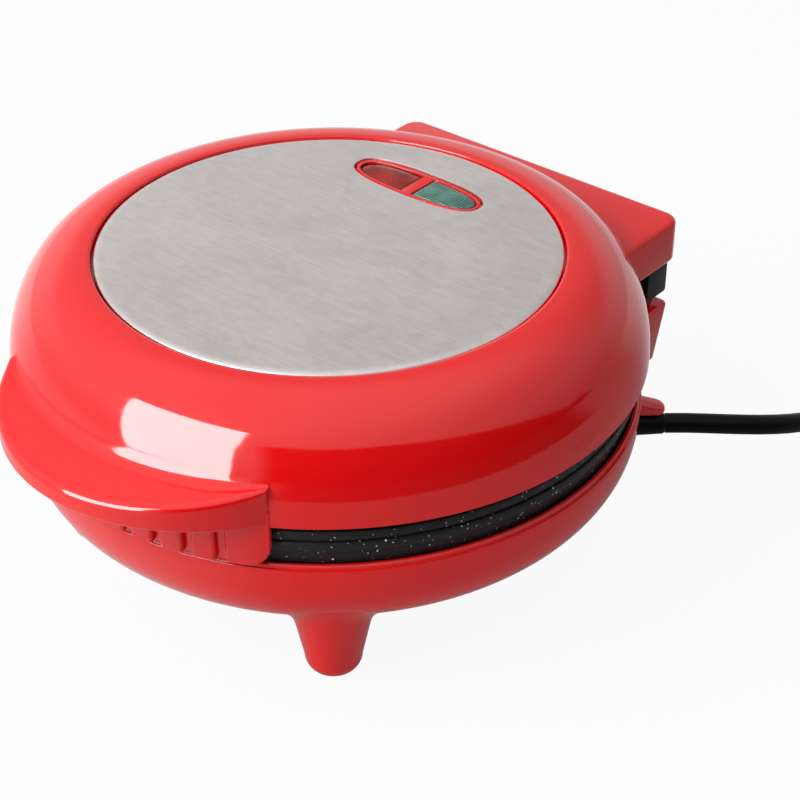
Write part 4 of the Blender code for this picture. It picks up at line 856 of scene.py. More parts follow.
def grip_ribs():
    """Rounded upright ribs side by side round the grip."""
    grip = bpy.context.scene.cooker_grip
    lid = bpy.context.scene.cooker_lid
    into_handle = 0.004
    edge = {"Radius": 0.00105, "Count": 6}
    inputs = {
        "Ribs": grip.rib_count,
        "Pitch": grip.rib_pitch,
        "Radius": grip.out_r,
        "Width": grip.out_r * grip.rib_pitch - grip.rib_gap,
        "Depth": grip.wall,
        "Height": lid.edge_z + into_handle - grip.low_z,
        "Low": grip.low_z,
    }
    tree = Tree("grip_ribs", inputs)
    count, pitch, radius, width, depth, height, low = (tree.input(label) for label in inputs)
    box = {"Width": width, "Height": depth}
    quad = tree.node("GeometryNodeCurvePrimitiveQuadrilateral", {"mode": "RECTANGLE"}, box)
    section = tree.node("GeometryNodeFilletCurve", {"mode": "POLY"}, {"Curve": quad, **edge})
    top = tree.node("ShaderNodeCombineXYZ", values={"Z": height})
    line = tree.node("GeometryNodeCurvePrimitiveLine", values={"Start": (0, 0, 0), "End": top})
    sweep = {"Curve": line, "Profile Curve": section, "Fill Caps": True}
    bar = tree.node("GeometryNodeCurveToMesh", values=sweep)
    row = tree.node("GeometryNodeMeshLine", values={"Count": count, "Offset": (0.001, 0, 0)})
    turn = (tree.node("GeometryNodeInputIndex") - (count - 1.0) * 0.5) * pitch
    reach = radius - depth * 0.5
    across = turn.maths("SINE", turn) * reach
    along = MIDDLE_Y - turn.maths("COSINE", turn) * reach
    place = tree.node("ShaderNodeCombineXYZ", values={"X": across, "Y": along, "Z": low})
    points = tree.node("GeometryNodeSetPosition", values={"Geometry": row, "Position": place})
    facing = tree.node("ShaderNodeCombineXYZ", values={"Z": turn})
    copies = {"Points": points, "Instance": bar, "Rotation": facing}
    ribs = tree.node("GeometryNodeInstanceOnPoints", values=copies)
    tree.finish(ribs, finish("moulded_red"))
    return tree.mesh("grip_ribs")


# ---- the lid ------------------------------------------------------------------------------------


def end_radius(angle):
    """Radius of the rounded end that the handle and the grip share, or 0 past it."""
    lid = bpy.context.scene.cooker_lid
    grip = bpy.context.scene.cooker_grip
    off = (abs(angle) - grip.half_angle) * grip.out_r / lid.handle_end + 1
    if off > 1:
        return 0.0
    return grip.out_r - lid.handle_end * (1 - math.sqrt(1 - max(0.0, off) ** 2))


def handle_reach(angle):
    """How far the handle's outline is from the body's axis at this angle from the front, or 0."""
    lid = bpy.context.scene.cooker_lid
    grip = bpy.context.scene.cooker_grip
    if abs(angle) > grip.half_angle - lid.handle_end / grip.out_r:
        return end_radius(angle)
    near = lid.handle_root / max(1e-6, math.cos(angle))
    if math.cos(angle) <= 0 or near * abs(math.sin(angle)) >= lid.handle_half_w:
        return 0.0
    far = lid.handle_root + lid.handle_length + lid.handle_half_w
    for _ in range(40):
        reach = (near + far) / 2
        across = abs(reach * math.sin(angle)) / lid.handle_half_w
        out = max(0.0, reach * math.cos(angle) - lid.handle_root) / lid.handle_length
        if across**lid.handle_fullness + out**lid.handle_fullness < 1:
            near = reach
        else:
            far = reach
    return max(near, grip.out_r)


def arc_about(centre, first, last, steps):
    """Points from first to last round a centre, the shorter way."""
    start = math.atan2(first[1] - centre[1], first[0] - centre[0])
    turn = math.atan2(last[1] - centre[1], last[0] - centre[0]) - start
    turn = (turn + math.pi) % (2 * math.pi) - math.pi
    radii = (math.dist(first, centre), math.dist(last, centre))
    points = []
    for share in np.linspace(0, 1, steps):
        radius = radii[0] + (radii[1] - radii[0]) * share
        angle = start + turn * share
        points.append((centre[0] + radius * math.cos(angle), centre[1] + radius * math.sin(angle)))
    return points


def lid_section(angle, reach, dome):
    """Points (radius, height) of the lid's skin from its disc recess down to its lower edge."""
    lid = bpy.context.scene.cooker_lid

    def out(radius):
        return (radius * math.cos(angle) - lid.handle_root) / lid.handle_length

    def top(radius):
        return lid.handle_top - lid.handle_droop * out(radius)

    above = dome[:, 1] - np.array([top(r) for r in dome[:, 0]])
    meet = dome[np.argmax(above <= 0)]
    width = reach - meet[0]
    if reach <= 0 or width <= 0.0001:  # the handle doesn't stand out here
        return dome
    drop = top(reach) - (lid.handle_lip * out(reach) if reach >= BODY_R else dome_height(reach))
    # Where the handle is slight, the fillet and the rounded edge share what room there is.
    fillet = min(lid.handle_fillet, 0.55 * width)
    edge = min(lid.handle_round, 0.42 * width, 0.7 * drop)
    # The fillet's centre lies as far over the dome as over the handle's top.
    slopes = np.gradient(dome, axis=0)
    normals = np.stack([-slopes[:, 1], slopes[:, 0]], axis=1) / np.linalg.norm(slopes, axis=1)[:, None]
    offset = dome + normals * fillet
    over_top = offset[:, 1] - np.array([top(r) for r in offset[:, 0]]) - fillet
    k = int(np.argmax(over_top <= 0))
    centre = offset[k]
    foot = (centre[0], top(centre[0]))
    line = [*map(tuple, dome[: k + 1]), *arc_about(centre, dome[k], foot, steps=14)[1:]]
    corner = (reach - edge, top(reach - edge) - edge)
    line += arc_about(corner, (reach - edge, top(reach - edge)), (reach, corner[1]), steps=12)
    if reach >= BODY_R:  # the handle's own lower edge, broken by half a millimetre
        low = lid.handle_lip * out(reach)
        line += [(reach, low + 0.0006), (reach - 0.0002, low + 0.0001), (reach - 0.0006, low)]
    else:
        line += [*map(tuple, dome[(dome[:, 0] > reach) & (dome[:, 1] < corner[1])])]
    return np.array(line)


def dome_height(radius):
    """Height of the dome's surface over the lid's lower edge at this radius."""
    lid = bpy.context.scene.cooker_lid
    return lid.rise * swell(radius, lid.recess_r + lid.lip, BODY_R, lid.fullness)


def soft_outline():
    """The handle's reach at each angle from the front in degrees, its inner corners slightly rounded."""
    least = BODY_R - 0.006
    spread, width = 20, 5.0  # of the rounding, in steps of the angle
    angles = np.arange(-60, 60.01, 0.05)
    reach = np.maximum([handle_reach(math.radians(a)) for a in angles], least)
    kernel = np.exp(-0.5 * (np.arange(-spread, spread + 1) / width) ** 2)
    return angles, np.convolve(np.pad(reach, spread, "edge"), kernel / kernel.sum(), "valid")


def section_angles():
    """Where the lid's skin has its sections, in degrees from the front: closest at the handle's ends."""
    end = math.degrees(bpy.context.scene.cooker_grip.half_angle)
    before, after, plain = end - 3.0, end + 1.2, 38
    closest = np.arange(before, after, 0.15)
    middle = np.arange(-before, before, 0.45)
    side = np.arange(after, plain, 0.45)
    round_the_back = np.arange(plain, 360 - plain, 2.0)
    return np.concatenate([-side[::-1], -closest[::-1], middle, closest, side, round_the_back])


def lid_skin():
    """The dome with its handle as one smooth skin, and the lip and recess round the disc."""
    lid = bpy.context.scene.cooker_lid
    dome = superellipse(BODY_R, lid.recess_r + lid.lip, 0.0, lid.rise, lid.fullness, steps=240)
    dome = np.array(dome)[::-1]
    seat = DISC_LOW.z - 0.0004 - lid.edge_z
    gutter = DISC_LOW.z - 0.0022 - lid.edge_z
    recess = [
        (lid.recess_r - 0.030, seat),
        (lid.recess_r - 0.0022, seat),
        (lid.recess_r - 0.0018, gutter),
        (lid.recess_r, gutter),
        (lid.recess_r, lid.rise - 0.0003),
        (lid.recess_r + lid.lip * 0.2, lid.rise - 0.00005),
    ]
    count, softness = 118, 0.00035
    outline = soft_outline()
    rows = []
    for a in section_angles():
        from_handle = (a + 180) % 360 - 180
        angle = math.radians(from_handle)
        reach = float(np.interp(from_handle, *outline, left=0, right=0))
        section = relaxed(evenly(lid_section(angle, reach, dome), count), softness)
        rows.append([from_front(r, angle, lid.edge_z + z) for r, z in (*recess, *section)])
    return thickened(grid("lid_skin", rows), lid.wall)


# The hinge box and the bracket start this far behind the body's axis, inside the body.
HOUSING_START = 0.040
PIN_BORE_R = 0.0022


def housing_outline(half_w, reach, corner, steps):
    """A housing's outline in plan, with its two back corners rounded."""
    front, back = MIDDLE_Y + HOUSING_START, MIDDLE_Y + reach
    corners = [(-half_w, front), (half_w, front), (half_w, back), (-half_w, back)]
    return rounded(corners, [0, 0, corner, corner], steps)


def pin_bore(start_x, end_x):
    """The cutter for the hinge pins' bore between these places."""
    return cylinder("bore", PIN_BORE_R, (start_x, HINGE[1], HINGE[2]), (end_x, HINGE[1], HINGE[2]))


def hinge_box():
    """The box behind the dome, hollowed for the dome and for the two hinge blocks."""
    lid = bpy.context.scene.cooker_lid
    hinge = bpy.context.scene.cooker_hinge
    outline = housing_outline(hinge.box_half_w, hinge.box_reach, hinge.box_corner, steps=14)
    low, top = lid.edge_z, lid.edge_z + hinge.box_top
    form = softened(prism("hinge_box", outline, low, top), hinge.box_edge, segments=5, sharp=60.0)
    core_r = BODY_R - lid.wall * 1.5 - 0.004
    cuts = [drum("core", core_r, low - THROUGH, top + THROUGH, steps=128)]
    play, deep = 0.0006, 0.0260
    size = (hinge.knuckle_w + play, 2 * hinge.knuckle_d + play, deep)
    for side in (-1, 1):
        centre = (side * hinge.knuckle_x, HINGE[1], hinge.block_top + (play - deep) / 2)
        cuts.append(block("socket", size, centre))
    return carved(form, cuts=cuts)


def grip_wall():
    """The wall behind the ribs, standing out to their faces in a plain panel at each end."""
    grip = bpy.context.scene.cooker_grip
    lid = bpy.context.scene.cooker_lid
    inner = grip.out_r - grip.wall
    high = lid.edge_z + 0.006
    panel = grip.rib_pitch * grip.rib_count / 2 + grip.rib_gap / 2 / grip.out_r
    rise = 0.0011 / grip.out_r
    corner = grip.corner / grip.out_r
    least_wall, under_lid, edge = 0.0002, 0.0001, 0.0007
    rows = []
    for a in np.linspace(-grip.half_angle, grip.half_angle, 401):
        share = held((abs(a) - panel + rise / 2) / rise)
        outer = grip.out_r - grip.rib_proud * (1 - eased(share))
        outer = max(inner + least_wall, min(outer - under_lid, end_radius(a)))
        off = held((abs(a) - (grip.half_angle - corner)) / corner)
        low = grip.low_z + grip.corner * (1 - math.sqrt(1 - off * off))
        soft = min(edge, (outer - inner) * 0.4)
        section = [
            (inner, low),
            (outer - soft, low),
            (outer - soft * 0.3, low + soft * 0.3),
            (outer, low + soft),
            (outer, high),
            (inner, high),
        ]
        rows.append([from_front(r, a, z) for r, z in section])
    bm = bmesh.new()
    bm.from_mesh(grid("grip_wall", rows, closed_rows=False, closed_columns=True))
    bmesh.ops.holes_fill(bm, edges=[e for e in bm.edges if e.is_boundary], sides=0)
    return mesh_of("grip_wall", bm)


class COOKER_OT_lid(bpy.types.Operator):
    """Make the lid's dome, handle, ribbed grip and hinge box"""

    bl_idname = "cooker.lid"
    bl_label = "Lid moulding"

    def execute(self, context):
        red_piece("lid_moulding", lid_skin(), "lid", ["lid_shell"], angle=50.0)
        red_piece("hinge_housing", hinge_box(), "lid")
        red_piece("grip_wall", grip_wall(), "lid")
        red_piece("grip_ribs", grip_ribs(), "lid")
        return {"FINISHED"}


# The lenses' section from foot to crown: share of their outline, and drop below their face.
LENS_CROWN = ((1.0, 0.0028), (1.0, 0.0005), (0.97, 0.0002), (0.9, 0.0), (0.6, -0.0002), (0.3, -0.0003))


def window_middle():
    """The window's middle in plan."""
    window = bpy.context.scene.cooker_window
    return window.x, MIDDLE_Y + window.from_axis


def window_outline(grown):
    """The whole window's outline, grown by this much."""
    window = bpy.context.scene.cooker_window
    halves = (window.half_l + grown, window.half_w + grown)
    return oval(*halves, 96, window_middle(), fullness=window.fullness)


def window_side(side, inset, web):
    """The outline of one lens's place, between the inset outline and the web."""
    window = bpy.context.scene.cooker_window
    half_l, half_w = window.half_l - inset, window.half_w - inset
    limit = math.acos((web / 2 / half_l) ** (window.fullness / 2))
    start = -limit if side > 0 else math.pi - limit
    return oval(half_l, half_w, 48, window_middle(), start, 2 * limit, window.fullness)


class COOKER_OT_disc(bpy.types.Operator):
    """Make the brushed steel disc with its window"""

    bl_idname = "cooker.disc"
    bl_label = "Steel disc"

    def execute(self, context):
        low, high = DISC_LOW.z, DISC_HIGH.z
        rim, edge, roll, gap = DISC_R - 0.0005, 0.0011, 0.0030, 0.0010
        profile = [(0, low), (rim - 0.0002, low), (rim, low + 0.0002), (rim, high - edge)]
        for t in np.linspace(0, math.pi / 2, 10)[1:]:
            profile.append((rim - roll + roll * math.cos(t), high - edge + edge * math.sin(t)))
        profile.append((0, high))
        opening = prism("opening", window_outline(gap), low - THROUGH, high + THROUGH)
        form = carved(revolved("disc", profile, steps=256), cuts=[opening])
        form = softened(form, 0.0009, segments=4, sharp=60.0)
        piece("steel_disc", form, "lid", "brushed_disc", ["lid_disc"])
        return {"FINISHED"}


class COOKER_OT_window(bpy.types.Operator):
    """Make the indicator window: its red frame and the two lenses"""

    bl_idname = "cooker.window"
    bl_label = "Indicator window"

    def execute(self, context):
        window = context.scene.cooker_window
        top = LID_TOP_Z - window.sink
        low = top - window.depth
        inset, overlap = window.frame_w / 2 + 0.0002, 0.0003
        collar = prism("frame", window_outline(0.0), DISC_LOW.z, top)
        sleeve = prism("sleeve", window_outline(-inset), low, DISC_LOW.z + overlap)
        holes = []
        for side in (-1, 1):
            outline = window_side(side, window.frame_w, window.web_w)
            holes.append(prism("hole", outline, low - THROUGH, top + THROUGH))
        form = softened(carved(collar, [sleeve], holes), 0.00035, segments=3, sharp=50.0)
        red_piece("window_frame", form, "lid", ["indicator_bezel"])
        # Black sleeves in the lenses' holes, so that the gaps round the lenses show painted shade.
        self.well("red_lens_well", -1, low, top)
        self.well("green_lens_well", 1, low, top)
        self.lens("red", -1, 0.0002)
        self.lens("green", 1, -0.0005)
        return {"FINISHED"}

    def well(self, name, side, low, top):
        """A black sleeve round a lens's place: a dark piece that paints the shade in the gap beside the lens.
        """
        window = bpy.context.scene.cooker_window
        play, wall, below_frame = 0.0001, 0.0004, 0.0007
        inset, web = window.frame_w + play, window.web_w + 2 * play
        form = prism(name, window_side(side, inset, web), low, top - below_frame)
        room = prism("room", window_side(side, inset + wall, web + 2 * wall), low - THROUGH, top)
        piece(name, carved(form, cuts=[room]), "lid", "black_moulding")

    def lens(self, tint, side, deeper):
        """One lens: crowned on top, with fine grooves along the green one."""
        window = bpy.context.scene.cooker_window
        play = 0.0006
        top = LID_TOP_Z - window.sink - window.lens_sink - deeper
        outline = np.array(window_side(side, window.frame_w + play, window.web_w + 2 * play))
        centre = outline.mean(axis=0)
        rings = []
        for share, drop in LENS_CROWN:
            rings.append([(x, y, top - drop) for x, y in centre + (outline - centre) * share])
        form = lofted(f"{tint}_lens_cap", rings)
        if tint == "green":
            form = carved(form, cuts=self.grooves(top))
        piece(f"{tint}_lens_cap", form, "lid", f"{tint}_lens", [f"lens_{tint}"], angle=30.0)

    def grooves(self, top):
        """Cutters side by side for the green lens's fine grooves."""
        window = bpy.context.scene.cooker_window
        size = (1.6 * window.half_l, window.rib_pitch * 0.46, 0.0014)
        above, askew = 0.0003, math.radians(-3.0)
        middle_x, middle_y = window_middle()
        cuts = []
        off = -window.half_w + 0.0024
        while off < window.half_w - 0.0020:
            place = (middle_x + window.half_l / 2, middle_y + off, top + above)
            cuts.append(block("groove", size, place, askew))
            off += window.rib_pitch
        return cuts


# ---- the base -----------------------------------------------------------------------------------


def bowl_height(radius):
    """Height of the bowl's outer surface at this radius."""
    base = bpy.context.scene.cooker_base
    depth = base.depth - base.lip_h
    return base.rim_z - base.lip_h - depth * swell(radius, base.flat_r, base.rim_r, base.fullness)


def base_bowl():
    """The bowl with its stepped lip, and the counterbores of its four screws."""
    base = bpy.context.scene.cooker_base
    low = base.rim_z - base.depth
    shoulder = base.rim_z - base.lip_h
    lip_r = base.rim_r - base.lip_in
    inner_r = base.rim_r - base.wall
    outside = superellipse(base.rim_r, base.flat_r, shoulder, low, base.fullness, steps=70)[::-1]
    lip = [
        (base.rim_r - 0.0001, shoulder + 0.0002),
        (lip_r + 0.0001, shoulder + 0.0003),
        (lip_r, shoulder + 0.0005),
        (lip_r, base.rim_z - 0.0004),
        (lip_r - 0.0004, base.rim_z),
        (inner_r + 0.0003, base.rim_z),
        (inner_r, base.rim_z - 0.0003),
    ]
    floor = low + base.wall
    inside = superellipse(inner_r, base.flat_r - base.wall, shoulder, floor, base.fullness, steps=24)
    profile = [(0, low), (base.flat_r * 0.5, low), *outside, *lip, *inside, (0, floor)]
    bore_r, under, head_z = 0.0039, 0.010, 0.0225
    cuts = []
    for i in range(1, 5):
        first, last = (Vector(corner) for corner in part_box(f"base_screw_{i}"))
        middle = (first + last) / 2
        cuts.append(cylinder("counterbore", bore_r, (*middle.xy, under), (*middle.xy, head_z)))
    return carved(revolved("base_bowl", profile, steps=224), cuts=cuts)


def leg(name, centre):
    """A tapered leg whose top flares out into the bowl, with the recess for its pad."""
    base = bpy.context.scene.cooker_base
    round_z = base.leg_tip_z + base.leg_round_h
    taper_z = 0.0370
    taper = (base.leg_top_r - base.leg_low_r) / (taper_z - round_z)
    pad_low, pad_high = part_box("foot_pad_1")
    play = 0.0003
    recess_r = (pad_high[0] - pad_low[0]) / 2 + play
    recess_top = pad_high[2] + play
    sunk, tucked_out, tucked_up = 0.00015, 0.001, 0.0012

    def wall_radius(z):
        return base.leg_low_r + taper * max(0.0, z - round_z)

    def bowl_at(spot):
        return bowl_height((spot - MIDDLE).xy.length)

    rows = []
    for a in np.linspace(0, 2 * math.pi, 72, endpoint=False):
        way = Vector((math.cos(a), math.sin(a), 0))
        profile = [(0.0, recess_top), (recess_r, recess_top), (recess_r, base.leg_tip_z)]
        for t in np.linspace(0, math.pi / 2, 10):
            radius = base.leg_tip_r + (base.leg_low_r - base.leg_tip_r) * math.sin(t)
            profile.append((radius, base.leg_tip_z + base.leg_round_h * (1 - math.cos(t))))
        meet = 0.020
        for _ in range(30):
            meet += 0.5 * (bowl_at(centre + way * wall_radius(meet)) - meet)
        start_z = meet - base.leg_blend
        for z in np.linspace(round_z, start_z, 10)[1:]:
            profile.append((wall_radius(z), z))
        out = wall_radius(meet) + base.leg_blend * 1.1
        first, middle = (wall_radius(start_z), start_z), (wall_radius(meet), meet)
        end = (out, bowl_at(centre + way * out) + sunk)
        for t in np.linspace(0, 1, 10)[1:]:
            shares = ((1 - t) ** 2, 2 * t * (1 - t), t * t)
            profile.append(tuple(sum(s * p[k] for s, p in zip(shares, (first, middle, end))) for k in (0, 1)))
        inside = out + tucked_out
        profile.append((inside, bowl_at(centre + way * inside) + tucked_up))
        rows.append([tuple(centre + way * r + Vector((0, 0, z))) for r, z in profile])
    return grid(name, rows)


def leg_places():
    """The legs in turn: front right, front left, back right, back left."""
    base = bpy.context.scene.cooker_base
    turns = [end * math.pi / 2 + side * base.leg_angle for end, side in ((-1, 1), (-1, -1), (1, -1), (1, 1))]
    return [around(base.leg_from_axis, turn) for turn in turns]


def bracket():
    """The bracket behind the bowl that carries the hinge's ears."""
    lid = bpy.context.scene.cooker_lid
    hinge = bpy.context.scene.cooker_hinge
    base = bpy.context.scene.cooker_base
    top = lid.edge_z - hinge.bracket_drop
    low = lid.edge_z - hinge.bracket_low
    foot = housing_outline(hinge.bracket_foot_w, hinge.bracket_foot, hinge.bracket_corner, steps=8)
    head = housing_outline(hinge.bracket_half_w, hinge.bracket_reach, hinge.bracket_corner, steps=8)
    form = softened(prism("bracket", foot, low, top, head), 0.0011, segments=4, sharp=60.0)
    over_rim, under_rim, overlap = 0.0004, 0.0080, 0.001
    core = drum("core", base.rim_r - over_rim, base.rim_z - overlap, top + 0.01, steps=192)
    deep = drum("deep", base.rim_r - under_rim, low - 0.01, base.rim_z, steps=128)
    ears = []
    for side in (-1, 1):
        root = top - 0.005
        profile = [(HINGE[1] - hinge.ear_r, root), (HINGE[1] + hinge.ear_r, root)]
        for t in np.linspace(0, math.pi, 21):
            profile.append((HINGE[1] + hinge.ear_r * math.cos(t), HINGE[2] + hinge.ear_r * math.sin(t)))
        ears.append(across_prism("ear", profile, side * hinge.knuckle_x, hinge.ear_w))
    return carved(carved(form, cuts=[core, deep]), ears, [pin_bore(-0.08, 0.08)])


# Where and which way the cord leaves the base.
EXIT_ANGLE = math.radians(40.0)
EXIT_Z = 0.0380
EXIT_WAY = Vector((math.cos(EXIT_ANGLE), math.sin(EXIT_ANGLE), 0))


def along_exit(distance):
    """The point on the cord's way out at this distance from the body's axis."""
    return MIDDLE + EXIT_WAY * distance + Vector((0, 0, EXIT_Z))


def canopy():
    """The slim wedge over the cord's way out, falling away to its rounded end."""
    inside, reach, half, corner = 0.1000, 0.1187, 0.0035, 0.0033
    low, high, fall = EXIT_Z + 0.0053, EXIT_Z + 0.0128, 0.0050
    corners = [(inside, -half), (reach, -half), (reach, half), (inside, half)]
    form = prism("canopy", rounded(corners, [0, corner, corner, 0], steps=12), low, high)
    for vertex in form.vertices:
        if vertex.co.z > high - 0.0001:
            vertex.co.z -= fall * (vertex.co.x - inside) / (reach - inside)
    form = softened(form, 0.0008, segments=4, sharp=60.0)
    form.transform(Matrix.Translation(MIDDLE) @ Matrix.Rotation(EXIT_ANGLE, 4, "Z"))
    return form


class COOKER_OT_base(bpy.types.Operator):
    """Make the base's bowl, legs, hinge bracket and the tab over the cord"""

    bl_idname = "cooker.base"
    bl_label = "Base moulding"

    def execute(self, context):
        red_piece("base_bowl", base_bowl(), "base", ["base_shell"], angle=40.0)
        for i, place in enumerate(leg_places(), 1):
            red_piece(f"leg_{i}", leg(f"leg_{i}", place), "base", angle=60.0)
        red_piece("hinge_bracket", bracket(), "base")
        red_piece("cord_canopy", canopy(), "base")
        return {"FINISHED"}


class COOKER_OT_hinge(bpy.types.Operator):
    """Make the black hinge blocks"""

    bl_idname = "cooker.hinge"
    bl_label = "Hinge blocks"

    def execute(self, context):
        hinge = context.scene.cooker_hinge
        _, pin_y, pin_z = HINGE
        front, back, foot = pin_y - hinge.knuckle_d, pin_y + hinge.knuckle_d, pin_z - hinge.knuckle_low
        corner, play = 0.0012, 0.0008
        corners = [(back, hinge.block_top), (front, hinge.block_top), (front, foot), (back, foot)]
        profile = rounded(corners, [0, 0, corner, corner], steps=8)
        slot_low, slot_high = foot - 0.004, pin_z + hinge.web_rise
        slot_size = (hinge.ear_w + play, 0.030, slot_high - slot_low)
        closed_end = hinge.knuckle_x + hinge.knuckle_w / 2 - hinge.knuckle_skin
        open_end = hinge.knuckle_x - hinge.knuckle_w
        for side, name in ((-1, "left"), (1, "right")):
            middle_x = side * hinge.knuckle_x
            form = across_prism("block", profile, middle_x, hinge.knuckle_w)
            slot = block("slot", slot_size, (middle_x, pin_y, (slot_low + slot_high) / 2))
            bore = pin_bore(side * open_end, side * closed_end)
            form = softened(carved(form, cuts=[slot, bore]), 0.0004, segments=3, sharp=40.0)
            node = f"hinge_block_{name}"
            piece(f"hinge_fork_{name}", form, "lid", "black_moulding", [node])
        return {"FINISHED"}


# ---- the plates ---------------------------------------------------------------------------------


def half_moon(side, change):
    """A half-moon pan's outline, grown or drawn in by change."""
    plate = bpy.context.scene.cooker_plate
    radius = plate.pan_r + change
    flat = plate.pan_split / 2 - change
    corner = plate.pan_corner + change
    across = flat + corner
    rim_angle = math.acos(across / (radius - corner))
    up = math.sqrt((radius - corner) ** 2 - across**2)
    steps = 12
    points = oval(radius, radius, 64, (0, 0), -rim_angle, 2 * rim_angle)
    for k in range(1, steps + 1):
        a = rim_angle + (math.pi - rim_angle) * k / steps
        points.append((across + corner * math.cos(a), up + corner * math.sin(a)))
    points.append((flat, -up))
    for k in range(1, steps):
        a = math.pi + (math.pi - rim_angle) * k / steps
        points.append((across + corner * math.cos(a), -up + corner * math.sin(a)))
    return [(side * x, MIDDLE_Y + y) for x, y in points]


def cast_plate(name, lid_side):
    """A plate with rounded rim edges, its skirt and its two half-moon pans."""
    plate = bpy.context.scene.cooker_plate
    low, high = (corner[2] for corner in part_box(f"{name}_plate"))
    away = 1 if lid_side else -1
    face, deep = (low, high) if lid_side else (high, low)

    def back(depth):
        return face + away * depth

    rim = plate.upper_r if lid_side else plate.rim_r
    inside = plate.skirt_r - 0.003
    soft = 0.0005
    profile = [
        (0, face),
        (rim - soft, face),
        (rim - soft * 0.3, back(soft * 0.3)),
        (rim, back(soft)),
        (rim, back(plate.flange_t - soft)),
        (rim - soft * 0.3, back(plate.flange_t - soft * 0.3)),
        (rim - soft, back(plate.flange_t)),
        (plate.skirt_r, back(plate.flange_t)),
        (plate.skirt_r, back(plate.skirt_h - soft)),
        (plate.skirt_r - soft, back(plate.skirt_h)),
        (inside, back(plate.skirt_h)),
        (inside, back(plate.flange_t)),
        (0, back(plate.flange_t)),
    ]
    adds, cuts = [], []
    for side in (-1, 1):
        drawn = half_moon(side, plate.pan_wall - plate.pan_draft)
        start, floor = back(plate.flange_t / 2), back(plate.pan_depth + plate.pan_wall)
        adds.append(prism("pan", half_moon(side, plate.pan_wall), start, floor, drawn))
        drawn = half_moon(side, -plate.pan_draft)
        cuts.append(prism("room", half_moon(side, 0.0), back(-0.001), back(plate.pan_depth), drawn))
    boss_r, boss_from_axis = 0.0045, 0.0400
    for k in range(4):
        spot = around(boss_from_axis, math.radians(45 + 90 * k))
        start = back(plate.pan_depth + plate.pan_wall / 2)
        adds.append(cylinder("boss", boss_r, (*spot.xy, start), (*spot.xy, deep), steps=24))
    return carved(revolved(name, profile, steps=192), adds, cuts)


class COOKER_OT_plates(bpy.types.Operator):
    """Make the two cast plates with their half-moon pans"""

    bl_idname = "cooker.plates"
    bl_label = "Cast plates"

    def execute(self, context):
        for name, body in (("lower", "base"), ("upper", "lid")):
            form = cast_plate(name, body == "lid")
            nodes = [f"{name}_plate"]
            piece(f"{name}_casting", form, body, "speckled_coating", nodes, angle=30.0)
        return {"FINISHED"}


# ---- cord, coil and plug ------------------------------------------------------------------------


# Points that the cord's free stretch passes, from the strain relief to the coil, as in the solids.
CORD_ROUTE = [
    (0.1021, 0.0892, 0.0378),
    (0.1104, 0.0964, 0.0372),
    (0.1171, 0.1050, 0.0354),
    (0.1214, 0.1148, 0.0324),
    (0.1233, 0.1250, 0.0286),
    (0.1246, 0.1351, 0.0246),
    (0.1260, 0.1453, 0.0206),
    (0.1273, 0.1554, 0.0168),
    (0.1287, 0.1655, 0.0131),
    (0.1300, 0.1756, 0.0094),
    (0.1314, 0.1858, 0.0057),
]
# The strain relief's two ends, as distances from the body's axis.
RELIEF_OUT = 0.1190
RELIEF_IN = 0.0840
# The put-away coil: a turn lies COIL_PITCH inside the one before, and the upper layer COIL_LAYER higher.
COIL_MIDDLE = Vector((0.1770, 0.1873, 0))
COIL_START = math.radians(165.0)
COIL_TURNS = 2.5
COIL_PITCH = 0.0081
COIL_LAYER = 0.0079
COIL_TAIL = 0.0272


def smooth_route(points, step):
    """Even points on the smooth curve through these points."""
    points = [Vector(p) for p in points]
    ends = [2 * points[0] - points[1], *points, 2 * points[-1] - points[-2]]
    fine = []
    for i in range(1, len(ends) - 2):
        p0, p1, p2, p3 = ends[i - 1 : i + 3]
        for t in (k / 20 for k in range(20)):
            bend = (2 * p0 - 5 * p1 + 4 * p2 - p3) * t**2 + (3 * p1 - p0 - 3 * p2 + p3) * t**3
            fine.append((2 * p1 + (p2 - p0) * t + bend) / 2)
    fine.append(points[-1])
    runs = [0.0]
    for a, b in zip(fine, fine[1:]):
        runs.append(runs[-1] + (b - a).length)
    count = max(2, round(runs[-1] / step))
    return [Vector(p) for p in evenly([tuple(p) for p in fine], count + 1)]


def coil_line():
    """The coil's centre line from its lead-in to its tail."""
    cord = bpy.context.scene.cooker_cord
    total = COIL_TURNS * 2 * math.pi
    steps = round(COIL_TURNS * 48)
    points = []
    for i in range(steps + 1):
        turned = total * i / steps
        inward = (total / 2 - abs(turned - total / 2)) / (2 * math.pi)
        radius = cord.coil_r - COIL_PITCH * inward
        climb = eased(held((turned - total / 2) / math.pi + 0.5))
        angle = COIL_START - turned
        rise = cord.diameter / 2 + COIL_LAYER * climb
        points.append(COIL_MIDDLE + Vector((radius * math.cos(angle), radius * math.sin(angle), rise)))
    lead = points[0] + Vector((-math.sin(COIL_START), math.cos(COIL_START), 0)) * cord.diameter
    last = COIL_START - total
    way = Vector((math.sin(last), -math.cos(last), 0))
    tail = [points[-1] + way * COIL_TAIL * (i + 1) / 4 for i in range(4)]
    return [lead, *points, *tail]


def cord_line():
    """The whole cord's centre line: free stretch, then coil."""
    diameter = bpy.context.scene.cooker_cord.diameter
    coil = coil_line()
    into = (coil[1] - coil[0]).normalized()
    last = coil[0]
    start = along_exit(RELIEF_OUT + 0.0003)
    leaving = (start, start + EXIT_WAY * diameter)
    arriving = (last - into * diameter, last)
    between = smooth_route([*leaving, *CORD_ROUTE, *arriving], diameter)
    clear = 1.6 * diameter
    between = [p for p in between if (p - start).length > clear and (p - last).length > clear]
    return [*leaving, *between, *arriving, *coil[1:]]


